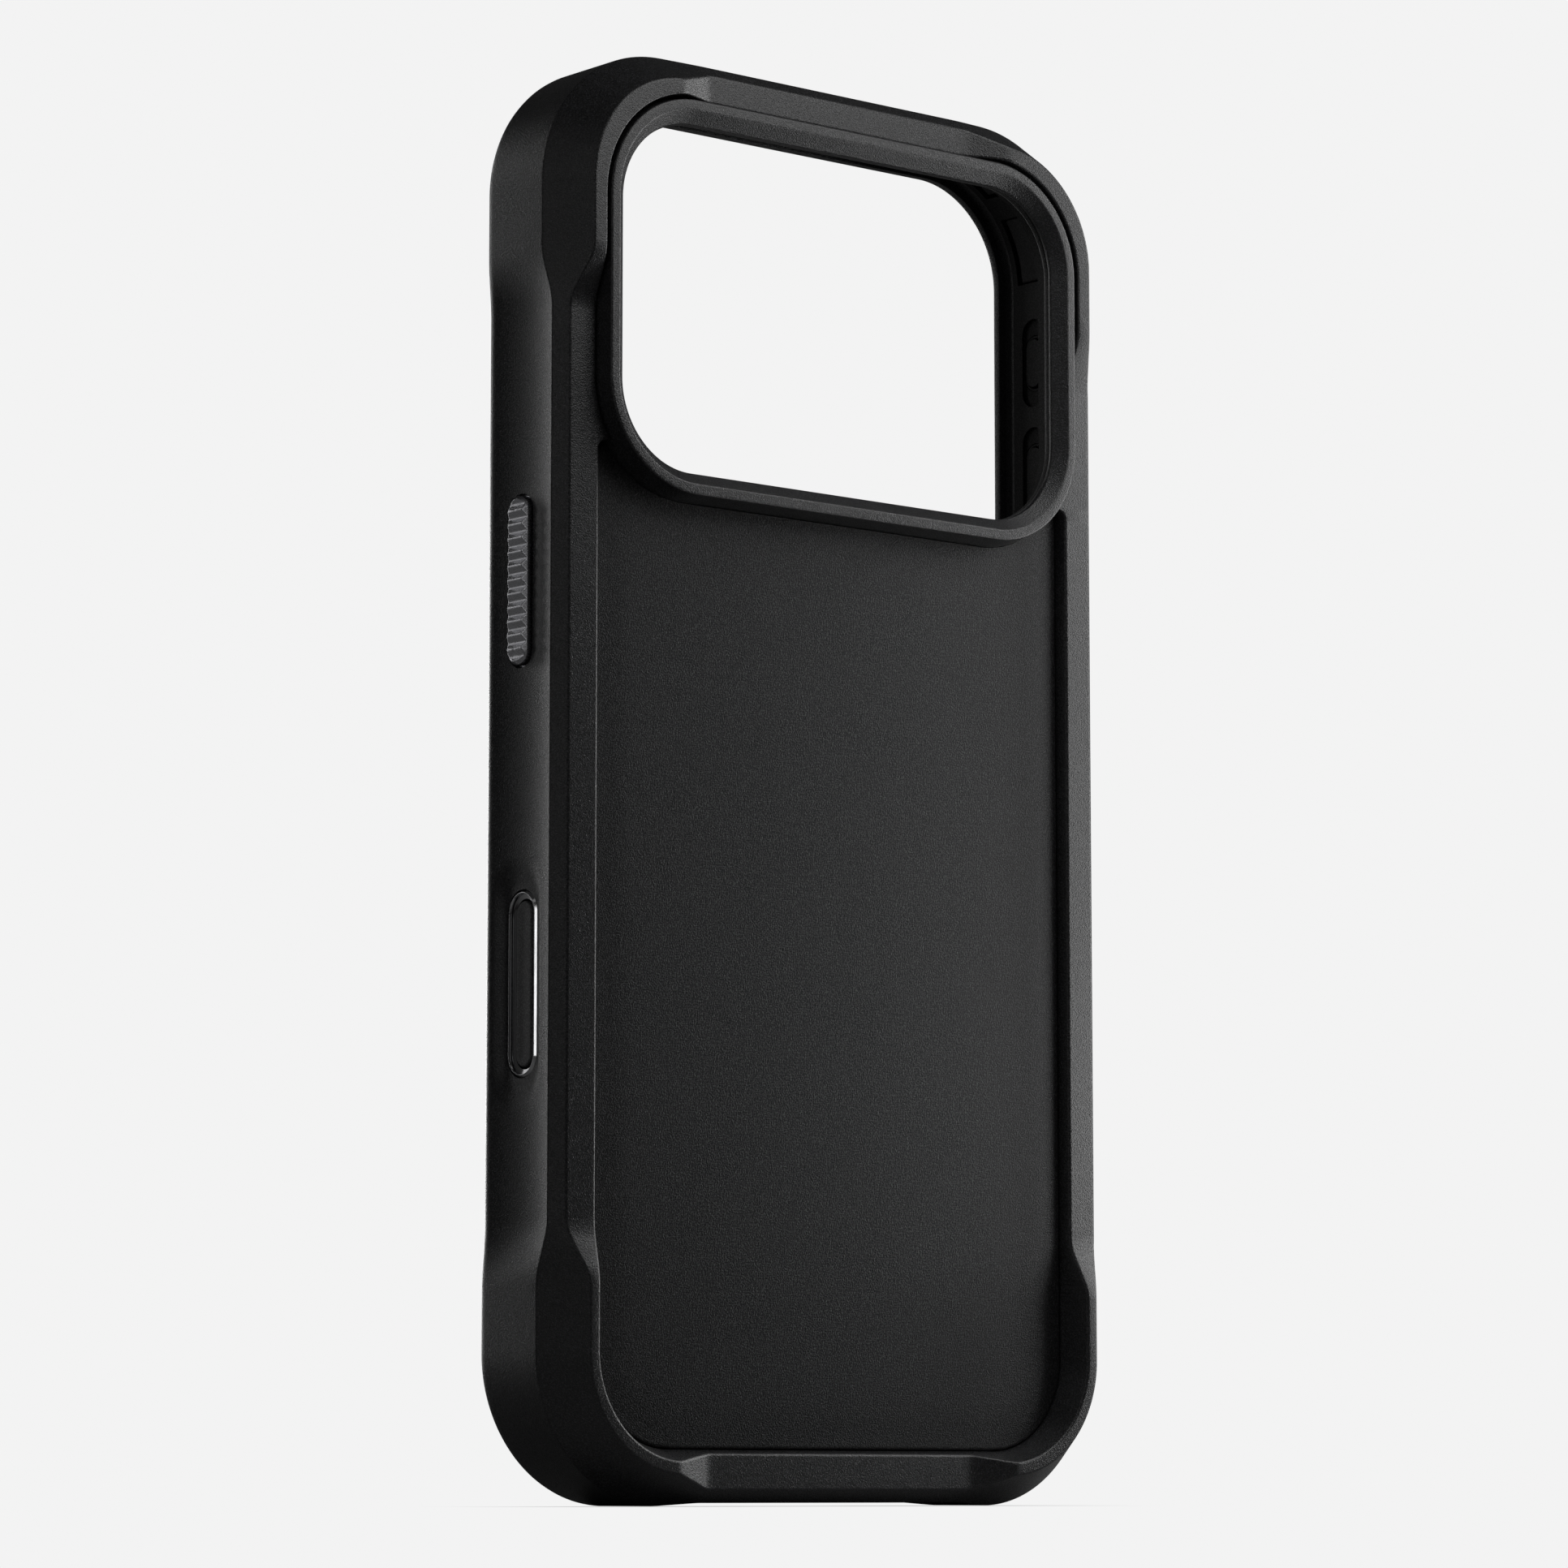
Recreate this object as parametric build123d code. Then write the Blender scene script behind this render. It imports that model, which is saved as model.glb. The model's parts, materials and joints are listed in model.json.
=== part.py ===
from build123d import *
import os

# Rugged phone case for a 6.3 inch phone, standing on its bottom edge. Millimetres.
# +Z runs up the length, the outside of the back faces -Y, the open screen side faces +Y.
# Left and right are as seen from behind, so left is -X. The origin is the bottom centre of the box.

# Phone that the case holds
PHONE_HALF_WIDTH = 35.95
PHONE_HEIGHT = 150.0
PHONE_DEPTH = 8.75
PHONE_CLEARANCE = 0.1

# Outside of the case
CASE_WIDTH = 79.0
CASE_HEIGHT = 157.2
CASE_DEPTH = 15.4
CORNER_RADIUS = 16.2
HALF_WIDTH = CASE_WIDTH / 2
FRONT_Y = CASE_DEPTH / 2
BACK_Y = -CASE_DEPTH / 2
MID_Z = CASE_HEIGHT / 2
CORNER_X = HALF_WIDTH - CORNER_RADIUS
CORNER_Z = CASE_HEIGHT - CORNER_RADIUS

# Section of the bumper: thick pads at the corners, slimmer runs between them
PAD_PROUD = 0.35
PAD_CREASE_Y = -2.75
PAD_CHAMFER = 3.35
RUN_CREASE_Y = -4.1
RUN_CHAMFER = 1.4
RUN_BACK_Y = -5.7
FRONT_ROUND = 1.5
GRIP_SCOOP = 0.7
BLANK_WALL = 9.0
PAD_LENGTH = 24.0
SIDE_RAMP = 5.0
END_RAMP_START = CORNER_X - 0.4
END_RAMP = 4.8

# Layers through the back, from the phone outwards
PHONE_BACK_Y = -2.25
PHONE_FRONT_Y = PHONE_BACK_Y + PHONE_DEPTH
LINING_INNER_Y = -2.4
SHELL_FLOOR_Y = -2.75
SHELL_BACK_Y = -3.75
PANEL_INNER_Y = -3.85
PANEL_EDGE_Y = -4.6
PANEL_CROWN = 0.35
BOND_GAP = 0.03

# Cavity, shell and front lip
CAVITY_HALF = PHONE_HALF_WIDTH + PHONE_CLEARANCE
CAVITY_LOW_Z = MID_Z - PHONE_HEIGHT / 2 - PHONE_CLEARANCE / 2
CAVITY_RADIUS = CORNER_RADIUS - (HALF_WIDTH - CAVITY_HALF)
SHELL_WALL = 0.9
SHELL_TOP_Y = 5.2
LIP_UNDER_Y = PHONE_FRONT_Y + PHONE_CLEARANCE
LIP_OVERHANG = 0.95

# Back panel recess
PANEL_HALF = 33.5
PANEL_LOW_Z = 6.05
PANEL_HIGH_Z = 113.2
PANEL_RADIUS = 10.2
PANEL_TOP_RADIUS = 1.2
PANEL_OVERLAP = 40.0
PANEL_GROOVE = 0.08
ADHESIVE_MARGIN = 1.0
RECESS_TAPER = 22.0

# Camera collar
COLLAR_HALF = 33.86
COLLAR_LOW_Z = 108.2
COLLAR_HIGH_Z = 151.8
COLLAR_RADIUS = 12.0
COLLAR_GROOVE = 0.54
COLLAR_FLARE = 0.46
COLLAR_FOOT_Y = -4.95
COLLAR_FACE = 1.14
COLLAR_BEVEL = 1.4
COLLAR_BEVEL_Y = BACK_Y + 1.35
COLLAR_UNDERCUT_Y = -5.9
COLLAR_WALL = 1.25
SEAL_DEPTH = 0.7
SEAL_LEDGE = 1.2
SEAL_RADIUS = 12.4

# Magnet module
MAGNET_Z = 75.6
CARRIER_RADIUS = 28.6
MAGNET_OUTER = 27.0
MAGNET_INNER = 23.0
MAGNET_COUNT = 18
MAGNET_GAP_DEG = 1.2
MAGNET_THICK = 0.55
SHIELD_THICK = 0.15
FILM_THICK = 0.1
ALIGN_WIDTH = 5.6
ALIGN_LENGTH = 19.0
ALIGN_TOP_Z = 43.6

# Side controls, all centred on the same line through the wall
BUTTON_Y = 1.9
CAP_WIDTH = 3.4
CAP_FACE_X = 39.45
CAP_LEDGE_X = 38.0
CAP_FLANGE = 0.45
CAP_FLANGE_THICK = 0.45
CAP_FIT = 0.2
RIB_PITCH = 1.5
RIB_GROOVE_RADIUS = 0.75
RIB_GROOVE_DEPTH = 0.45
CAP_BEVEL = 0.45
STEM_WIDTH = 2.3
STEM_SHORTER = 4.0
STEM_TIP_X = 36.15
GASKET_WALL = 0.3
POCKET_MARGIN = 0.8
SHELL_POCKET_DEPTH = 0.35
SHELL_POCKET_WIDTH = 3.6
SHELL_POCKET_LONGER = 0.8
SIDE_BUTTON = ("side_button", -1, 98.25, 18.3)
ACTION_BUTTON = ("action_button", 1, 131.9, 9.6)
VOLUME_UP = ("volume_up_button", 1, 118.0, 11.8)
VOLUME_DOWN = ("volume_down_button", 1, 104.0, 11.8)
BUTTONS = (SIDE_BUTTON, ACTION_BUTTON, VOLUME_UP, VOLUME_DOWN)

# Capture control on the left wall
CAPTURE_Z = 55.0
CAPTURE_RING_LENGTH = 20.0
CAPTURE_RING_WIDTH = 5.0
CAPTURE_RING_X = 38.2
CAPTURE_WINDOW_LENGTH = 18.2
CAPTURE_WINDOW_WIDTH = 3.2
CAPTURE_FLARE = 0.55
CAPTURE_PAD_LENGTH = 17.7
CAPTURE_PAD_WIDTH = 2.7
CAPTURE_PAD_X = 37.85
CAPTURE_PAD_INNER_X = 37.2
CAPTURE_STEM_LENGTH = 14.0
DISH_LENGTH = 28.0
DISH_WIDTH = 7.4
DISH_FLOOR_X = 38.2
DISH_MOUTH_X = 38.8

# Corner cushions
CUSHION_THICK = 1.15
CUSHION_FRONT_Y = 4.6
CUSHION_BACK_Y = -1.6
WINDOW_FRONT_Y = 4.4
WINDOW_BACK_Y = 0.2
CUSHION_ARC = (0.0, 90.0)
WINDOW_ARCS = ((2.0, 38.0), (52.0, 88.0))
RIDGE_SHY = 0.3
RIDGE_INSET_DEG = 1.0

# Openings in the bottom wall
PORT_WIDTH = 13.0
PORT_HEIGHT = 6.4
SOUND_HOLE_RADIUS = 0.85
SOUND_HOLE_FIRST_X = 10.2
SOUND_HOLE_PITCH = 2.6
SOUND_HOLES_PER_SIDE = 3
END_WALL_REACH = 5.5


def plate(half_width, low_z, high_z, radius, low_y, high_y, taper=0):
    """A rounded rectangle across X and Z, extruded from high_y back to low_y."""
    outline = Pos(0, (low_z + high_z) / 2) * RectangleRounded(2 * half_width, high_z - low_z, radius)
    return extrude(Plane.XZ.offset(-high_y) * outline, high_y - low_y, taper=taper)


def case_plate(inset, low_y, high_y):
    """A plate whose outline is the case's own, moved inwards by inset."""
    radius = CORNER_RADIUS - inset
    return plate(HALF_WIDTH - inset, inset, CASE_HEIGHT - inset, radius, low_y, high_y)


def panel_plate(grow, low_y, high_y, taper=0):
    """The back panel's plan, moved outwards by grow: large corners below, small ones above."""
    half = PANEL_HALF + grow
    low_z = PANEL_LOW_Z - grow
    high_z = PANEL_HIGH_Z + grow
    lower = plate(half, low_z, high_z - PANEL_OVERLAP, PANEL_RADIUS + grow, low_y, high_y, taper)
    upper = plate(half, low_z + PANEL_OVERLAP, high_z, PANEL_TOP_RADIUS + grow, low_y, high_y, taper)
    return lower + upper


def wall_slot(side, centre_z, length, width, near_x, far_x):
    """A slot with round ends through a side wall, from near_x to far_x from the centre."""
    start_x = near_x if side > 0 else -far_x
    outline = Pos(BUTTON_Y, centre_z) * SlotOverall(length, width, rotation=90)
    return extrude(Plane.YZ.offset(start_x) * outline, far_x - near_x)


def corner_sector(inner_radius, outer_radius, arc, low_y, high_y):
    """A curved block round the top right corner's centre; arc is in degrees up from +X."""
    width = outer_radius - inner_radius
    height = high_y - low_y
    blank = Pos(CORNER_X + inner_radius + width / 2, low_y + height / 2) * Rectangle(width, height)
    turned = Axis((CORNER_X, 0, CORNER_Z), (0, -1, 0))
    block = revolve(Plane((0, 0, CORNER_Z)) * blank, turned, arc[1] - arc[0])
    return block.rotate(turned, arc[0])


def four_corners(block):
    """The top right block and its mirror images, keyed by the corner each one lies in."""
    left = mirror(block, about=Plane.YZ)
    level = Plane.XY.offset(MID_Z)
    return {
        "top_right": block,
        "top_left": left,
        "bottom_right": mirror(block, about=level),
        "bottom_left": mirror(left, about=level),
    }


# Bumper frame


def bumper_section(plane, proud, crease_y, chamfer, back_y, scoop):
    """The bumper's closed section: local x is the inset from the pads' outline, local y is depth."""
    side = proud
    crease = (side, crease_y)
    shoulder = (side, FRONT_Y - FRONT_ROUND)
    middle = (side + scoop, (crease_y + FRONT_Y - FRONT_ROUND) / 2)
    wall = ThreePointArc(shoulder, middle, crease) if scoop else Line(shoulder, crease)
    round_middle = FRONT_ROUND * (1 - 0.5 ** 0.5)
    edges = [
        Line((BLANK_WALL, FRONT_Y), (side + FRONT_ROUND, FRONT_Y)),
        ThreePointArc(
            (side + FRONT_ROUND, FRONT_Y), (side + round_middle, FRONT_Y - round_middle), shoulder
        ),
        wall,
        Line(crease, (side + chamfer, back_y)),
        Line((side + chamfer, back_y), (BLANK_WALL, back_y)),
        Line((BLANK_WALL, back_y), (BLANK_WALL, FRONT_Y)),
    ]
    return plane * make_face(edges)


def pad_section(plane):
    return bumper_section(plane, 0, PAD_CREASE_Y, PAD_CHAMFER, BACK_Y, 0)


def run_section(plane, scoop=0):
    return bumper_section(plane, PAD_PROUD, RUN_CREASE_Y, RUN_CHAMFER, RUN_BACK_Y, scoop)


def side_plane(z):
    return Plane((HALF_WIDTH, 0, z), x_dir=(-1, 0, 0), z_dir=(0, 0, -1))


def end_plane(x):
    return Plane((x, 0, CASE_HEIGHT), x_dir=(0, 0, -1), z_dir=(1, 0, 0))


def bumper_quarter():
    """The solid ring's top right quarter: side run, ramp, corner pad, ramp and top run."""
    pad_z = CASE_HEIGHT - PAD_LENGTH
    run_z = pad_z - SIDE_RAMP
    run_x = END_RAMP_START - END_RAMP
    upward = (0, 0, 1)
    inward = (-1, 0, 0)
    side_run = extrude(run_section(side_plane(MID_Z), GRIP_SCOOP), run_z - MID_Z, dir=upward)
    side_ramp = loft([run_section(side_plane(run_z), GRIP_SCOOP), pad_section(side_plane(pad_z))], ruled=True)
    side_pad = extrude(pad_section(side_plane(pad_z)), CORNER_Z - pad_z, dir=upward)
    elbow = revolve(
        pad_section(side_plane(CORNER_Z)), Axis((CORNER_X, 0, CORNER_Z), (0, -1, 0)), 90
    )
    end_pad = extrude(pad_section(end_plane(CORNER_X)), CORNER_X - END_RAMP_START, dir=inward)
    end_ramp = loft(
        [pad_section(end_plane(END_RAMP_START)), run_section(end_plane(run_x))], ruled=True
    )
    end_run = extrude(run_section(end_plane(run_x)), run_x, dir=inward)
    return side_run + side_ramp + side_pad + elbow + end_pad + end_ramp + end_run


def collar_outline_plate(grow, low_y, high_y):
    """A plate with the camera collar's outline, moved outwards by grow."""
    return plate(
        COLLAR_HALF + grow,
        COLLAR_LOW_Z - grow,
        COLLAR_HIGH_Z + grow,
        COLLAR_RADIUS + grow,
        low_y,
        high_y,
    )


def frame_hollow():
    """Everything inside the bumper: lip mouth, phone pocket, shell pocket, panel recess, collar hole."""
    cavity_inset = HALF_WIDTH - CAVITY_HALF
    shell_inset = cavity_inset - SHELL_WALL
    base_y = SHELL_BACK_Y - BOND_GAP
    mouth = case_plate(cavity_inset + LIP_OVERHANG, LIP_UNDER_Y, FRONT_Y + 1)
    pocket = case_plate(cavity_inset, SHELL_TOP_Y, LIP_UNDER_Y)
    shell_pocket = case_plate(shell_inset - BOND_GAP, base_y, SHELL_TOP_Y)
    recess = panel_plate(PANEL_GROOVE, PANEL_EDGE_Y, base_y)
    recess_mouth = panel_plate(PANEL_GROOVE, BACK_Y - 1, PANEL_EDGE_Y, taper=-RECESS_TAPER)
    collar_hole = collar_outline_plate(COLLAR_GROOVE, BACK_Y - 1, base_y)
    return mouth + pocket + shell_pocket + recess + recess_mouth + collar_hole


def bottom_openings():
    """The charging port's mouth and the sound holes beside it, through the bottom wall."""
    port = Pos(0, BUTTON_Y) * SlotOverall(PORT_WIDTH, PORT_HEIGHT)
    cuts = extrude(Plane.XY.offset(-1) * port, END_WALL_REACH + 1)
    for index in range(SOUND_HOLES_PER_SIDE):
        hole_x = SOUND_HOLE_FIRST_X + index * SOUND_HOLE_PITCH
        for side in (-1, 1):
            hole = Pos(side * hole_x, BUTTON_Y) * Circle(SOUND_HOLE_RADIUS)
            cuts += extrude(Plane.XY.offset(-1) * hole, END_WALL_REACH + 1)
    return cuts


def capture_dish():
    """The shallow dish round the capture control, wider and longer at its mouth."""
    floor = Pos(BUTTON_Y, CAPTURE_Z) * SlotOverall(CAPTURE_RING_LENGTH, CAPTURE_RING_WIDTH, rotation=90)
    mouth = Pos(BUTTON_Y, CAPTURE_Z) * SlotOverall(DISH_LENGTH, DISH_WIDTH, rotation=90)
    faces = [Plane.YZ.offset(-DISH_FLOOR_X) * floor, Plane.YZ.offset(-DISH_MOUTH_X) * mouth]
    return loft(faces, ruled=True)


def frame_control_cuts():
    """Holes and inner pockets for the four buttons, and the capture control's hole and dish."""
    inner_x = CAVITY_HALF + SHELL_WALL - 0.1
    outer_x = HALF_WIDTH + 1
    cuts = capture_dish()
    cuts += wall_slot(
        -1,
        CAPTURE_Z,
        CAPTURE_RING_LENGTH + 2 * BOND_GAP,
        CAPTURE_RING_WIDTH + 2 * BOND_GAP,
        inner_x,
        DISH_FLOOR_X + 0.1,
    )
    for _, side, centre_z, length in BUTTONS:
        fit = 2 * CAP_FIT
        pocket = 2 * POCKET_MARGIN
        cuts += wall_slot(side, centre_z, length + fit, CAP_WIDTH + fit, CAP_LEDGE_X - 0.1, outer_x)
        cuts += wall_slot(side, centre_z, length + pocket, CAP_WIDTH + pocket, inner_x, CAP_LEDGE_X)
    return cuts


def cushion_radius():
    return CAVITY_RADIUS + SHELL_WALL + BOND_GAP


def cushion_pockets():
    """Room in the bumper's corners for the cushions."""
    inner = cushion_radius() - 0.1
    outer = cushion_radius() + CUSHION_THICK + BOND_GAP
    arc = (CUSHION_ARC[0] - 0.2, CUSHION_ARC[1] + 0.2)
    block = corner_sector(inner, outer, arc, CUSHION_BACK_Y - BOND_GAP, CUSHION_FRONT_Y + BOND_GAP)
    return list(four_corners(block).values())


def make_bumper_frame():
    quarter = bumper_quarter()
    top = quarter + mirror(quarter, about=Plane.YZ)
    ring = top + mirror(top, about=Plane.XY.offset(MID_Z))
    frame = ring - frame_hollow() - frame_control_cuts() - bottom_openings()
    for pocket in cushion_pockets():
        frame -= pocket
    return frame


# Inner shell and back layers


def camera_opening(low_y, high_y, margin=0.0):
    """The hole for the phone's camera, inside the collar's wall."""
    return collar_outline_plate(-COLLAR_WALL - margin, low_y, high_y)


def align_slot(grow, low_y, high_y):
    centre_z = ALIGN_TOP_Z - ALIGN_LENGTH / 2
    outline = Pos(0, centre_z) * RectangleRounded(ALIGN_WIDTH + 2 * grow, ALIGN_LENGTH + 2 * grow, 0.6)
    return extrude(Plane.XZ.offset(-high_y) * outline, high_y - low_y)


def disc(radius, low_y, high_y):
    """A flat disc about the magnet module's centre."""
    outline = Pos(0, MAGNET_Z) * Circle(radius)
    return extrude(Plane.XZ.offset(-high_y) * outline, high_y - low_y)


def make_inner_shell():
    cavity_inset = HALF_WIDTH - CAVITY_HALF
    tray = case_plate(cavity_inset - SHELL_WALL, SHELL_BACK_Y, SHELL_TOP_Y)
    tray -= case_plate(cavity_inset, SHELL_FLOOR_Y, SHELL_TOP_Y + 1)
    tray -= camera_opening(SHELL_BACK_Y - 1, SHELL_FLOOR_Y + 1)
    tray -= disc(CARRIER_RADIUS + BOND_GAP, SHELL_BACK_Y - 1, SHELL_FLOOR_Y + 1)
    tray -= align_slot(BOND_GAP, SHELL_BACK_Y - 1, SHELL_FLOOR_Y + 1)
    tray -= bottom_openings()
    reach_x = CAVITY_HALF + SHELL_WALL + 1
    pocket_x = CAVITY_HALF + SHELL_POCKET_DEPTH
    for _, side, centre_z, length in BUTTONS:
        tray -= gasket_slot(side, centre_z, length - STEM_SHORTER, BOND_GAP, CAVITY_HALF - 1, reach_x)
        pocket_length = length + SHELL_POCKET_LONGER
        tray -= wall_slot(side, centre_z, pocket_length, SHELL_POCKET_WIDTH, CAVITY_HALF - 1, pocket_x)
    tray -= gasket_slot(-1, CAPTURE_Z, CAPTURE_STEM_LENGTH, BOND_GAP, CAVITY_HALF - 1, reach_x)
    capture_pocket = CAPTURE_STEM_LENGTH + STEM_SHORTER
    tray -= wall_slot(-1, CAPTURE_Z, capture_pocket, SHELL_POCKET_WIDTH, CAVITY_HALF - 1, pocket_x)
    for arc in WINDOW_ARCS:
        window = corner_sector(
            CAVITY_RADIUS - 1, cushion_radius() + 0.5, arc, WINDOW_BACK_Y, WINDOW_FRONT_Y
        )
        for block in four_corners(window).values():
            tray -= block
    return tray


def make_back_panel():
    """The outer plate: flat inside, gently crowned across its width outside."""
    plan = panel_plate(0, BACK_Y, PANEL_INNER_Y)
    crown_radius = PANEL_HALF ** 2 / (2 * PANEL_CROWN)
    crown_axis_y = PANEL_EDGE_Y - PANEL_CROWN + crown_radius
    barrel = Pos(0, crown_axis_y, MID_Z) * Cylinder(crown_radius, CASE_HEIGHT)
    return plan & barrel - collar_outline_plate(COLLAR_FLARE + PANEL_GROOVE, BACK_Y - 1, FRONT_Y)


def make_panel_adhesive():
    sheet = panel_plate(-ADHESIVE_MARGIN, PANEL_INNER_Y, SHELL_BACK_Y)
    return sheet - collar_outline_plate(ADHESIVE_MARGIN, BACK_Y, FRONT_Y)


def make_microfibre_lining():
    inset = HALF_WIDTH - CAVITY_HALF + 0.4
    sheet = case_plate(inset, SHELL_FLOOR_Y, LINING_INNER_Y)
    return sheet - camera_opening(SHELL_FLOOR_Y - 1, LINING_INNER_Y + 1, -0.4)


# Camera collar and its seal


def make_camera_collar():
    """A raised ring with a flared foot, a flat face, a bevel into the window and an undercut inside."""
    bevel_inset = COLLAR_FACE + COLLAR_BEVEL
    foot = collar_outline_face(COLLAR_FLARE, COLLAR_FOOT_Y)
    ring = loft([foot, collar_outline_face(0, BACK_Y)], ruled=True)
    ring += collar_outline_plate(COLLAR_FLARE, COLLAR_FOOT_Y, SHELL_BACK_Y - BOND_GAP)
    ring -= collar_outline_plate(-bevel_inset, BACK_Y - 1, FRONT_Y)
    ring -= camera_opening(COLLAR_UNDERCUT_Y, FRONT_Y)
    rise = COLLAR_BEVEL_Y - BACK_Y
    inner = collar_outline_face(-bevel_inset, COLLAR_BEVEL_Y)
    outer = collar_outline_face(-COLLAR_FACE, COLLAR_BEVEL_Y - rise)
    return ring - loft([inner, outer], ruled=True)


def collar_outline_face(grow, y):
    width = 2 * (COLLAR_HALF + grow)
    height = COLLAR_HIGH_Z - COLLAR_LOW_Z + 2 * grow
    centre_z = (COLLAR_LOW_Z + COLLAR_HIGH_Z) / 2
    outline = Pos(0, centre_z) * RectangleRounded(width, height, COLLAR_RADIUS + grow)
    return Plane.XZ.offset(-y) * outline


def make_camera_window_seal():
    """A soft ring under the collar's bevel, with rounder inner corners than the bevel's."""
    high_y = COLLAR_UNDERCUT_Y + SEAL_DEPTH
    fit = COLLAR_WALL + BOND_GAP
    ring = collar_outline_plate(-fit, COLLAR_UNDERCUT_Y + BOND_GAP, high_y)
    hole = plate(
        COLLAR_HALF - COLLAR_WALL - SEAL_LEDGE,
        COLLAR_LOW_Z + COLLAR_WALL + SEAL_LEDGE,
        COLLAR_HIGH_Z - COLLAR_WALL - SEAL_LEDGE,
        SEAL_RADIUS,
        BACK_Y,
        FRONT_Y,
    )
    return ring - hole


# Magnet module, from the outside inwards: shield, magnets, carrier, film


def make_magnet_carrier():
    carrier = disc(CARRIER_RADIUS, SHELL_BACK_Y, SHELL_FLOOR_Y - FILM_THICK)
    channel_y = SHELL_FLOOR_Y - FILM_THICK - MAGNET_THICK - SHIELD_THICK
    channel = disc(MAGNET_OUTER + BOND_GAP, channel_y, FRONT_Y)
    channel -= disc(MAGNET_INNER - BOND_GAP, channel_y - 1, FRONT_Y)
    return carrier - channel


def make_magnet_shield():
    low_y = SHELL_FLOOR_Y - FILM_THICK - MAGNET_THICK - SHIELD_THICK
    high_y = low_y + SHIELD_THICK
    return disc(MAGNET_OUTER, low_y, high_y) - disc(MAGNET_INNER, low_y - 1, high_y + 1)


def make_magnet_ring():
    """Separate arc magnets with a small gap between neighbours."""
    low_y = SHELL_FLOOR_Y - FILM_THICK - MAGNET_THICK
    width = MAGNET_OUTER - MAGNET_INNER
    blank = Pos(MAGNET_INNER + width / 2, low_y + MAGNET_THICK / 2) * Rectangle(width, MAGNET_THICK)
    turned = Axis((0, 0, MAGNET_Z), (0, -1, 0))
    step = 360 / MAGNET_COUNT
    magnet = revolve(Plane((0, 0, MAGNET_Z)) * blank, turned, step - MAGNET_GAP_DEG)
    return Compound(children=[magnet.rotate(turned, index * step) for index in range(MAGNET_COUNT)])


def make_magnet_cover_film():
    return disc(CARRIER_RADIUS, SHELL_FLOOR_Y - FILM_THICK, SHELL_FLOOR_Y)


def make_alignment_magnet():
    return align_slot(0, SHELL_BACK_Y, SHELL_FLOOR_Y - FILM_THICK)


# Side controls


def gasket_slot(side, centre_z, stem_length, grow, near_x, far_x):
    """The slot in the shell that a stem's gasket fills."""
    wall = 2 * (CAP_FIT + GASKET_WALL + grow)
    return wall_slot(side, centre_z, stem_length + wall, STEM_WIDTH + wall, near_x, far_x)


def make_gasket(side, centre_z, stem_length):
    fit = 2 * CAP_FIT
    outer_x = CAVITY_HALF + SHELL_WALL
    ring = gasket_slot(side, centre_z, stem_length, 0, CAVITY_HALF + SHELL_POCKET_DEPTH, outer_x)
    return ring - wall_slot(side, centre_z, stem_length + fit, STEM_WIDTH + fit, 0, HALF_WIDTH)


def make_button_cap(side, centre_z, length):
    """A metal cap with a retaining flange behind and grip ribs across its face."""
    flange_x = CAP_LEDGE_X - 0.05
    flange = 2 * CAP_FLANGE
    face = wall_slot(side, centre_z, length, CAP_WIDTH, flange_x, CAP_FACE_X)
    outer_rim = face.faces().sort_by(Axis.X)[-1 if side > 0 else 0].edges()
    cap = chamfer(outer_rim, CAP_BEVEL)
    cap += wall_slot(side, centre_z, length + flange, CAP_WIDTH + flange, flange_x - CAP_FLANGE_THICK, flange_x)
    groove_x = side * (CAP_FACE_X - RIB_GROOVE_DEPTH + RIB_GROOVE_RADIUS)
    grooves = int((length - CAP_WIDTH / 2) / RIB_PITCH)
    for index in range(grooves):
        groove_z = centre_z + (index - (grooves - 1) / 2) * RIB_PITCH
        cutter = Cylinder(RIB_GROOVE_RADIUS, 2 * CAP_WIDTH, rotation=(90, 0, 0))
        cap -= Pos(groove_x, BUTTON_Y, groove_z) * cutter
    return cap


def make_button_stem(side, centre_z, length):
    back_x = CAP_LEDGE_X - 0.05 - CAP_FLANGE_THICK
    return wall_slot(side, centre_z, length - STEM_SHORTER, STEM_WIDTH, STEM_TIP_X, back_x)


def make_capture_ring():
    inner_x = CAVITY_HALF + SHELL_WALL + BOND_GAP
    ring = wall_slot(-1, CAPTURE_Z, CAPTURE_RING_LENGTH, CAPTURE_RING_WIDTH, inner_x, CAPTURE_RING_X)
    window = wall_slot(-1, CAPTURE_Z, CAPTURE_WINDOW_LENGTH, CAPTURE_WINDOW_WIDTH, 0, HALF_WIDTH)
    ring -= window
    mouth_edges = ring.faces().sort_by(Axis.X)[0].inner_wires()[0].edges()
    return chamfer(mouth_edges, CAPTURE_FLARE)


def make_capture_pad():
    pad = wall_slot(-1, CAPTURE_Z, CAPTURE_PAD_LENGTH, CAPTURE_PAD_WIDTH, CAPTURE_PAD_INNER_X, CAPTURE_PAD_X)
    return fillet(pad.faces().sort_by(Axis.X)[0].edges(), 0.15)


def make_capture_stem():
    return wall_slot(-1, CAPTURE_Z, CAPTURE_STEM_LENGTH, STEM_WIDTH, STEM_TIP_X, CAPTURE_PAD_INNER_X)


def make_corner_cushions():
    """Soft blocks behind the shell's corners, with ridges that fill its corner windows."""
    inner = cushion_radius()
    block = corner_sector(inner, inner + CUSHION_THICK, CUSHION_ARC, CUSHION_BACK_Y, CUSHION_FRONT_Y)
    for arc in WINDOW_ARCS:
        ridge_arc = (arc[0] + RIDGE_INSET_DEG, arc[1] - RIDGE_INSET_DEG)
        block += corner_sector(
            CAVITY_RADIUS + RIDGE_SHY,
            inner + 0.2,
            ridge_arc,
            WINDOW_BACK_Y + RIDGE_SHY,
            WINDOW_FRONT_Y - RIDGE_SHY,
        )
    return {f"corner_cushion_{corner}": part for corner, part in four_corners(block).items()}


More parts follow.
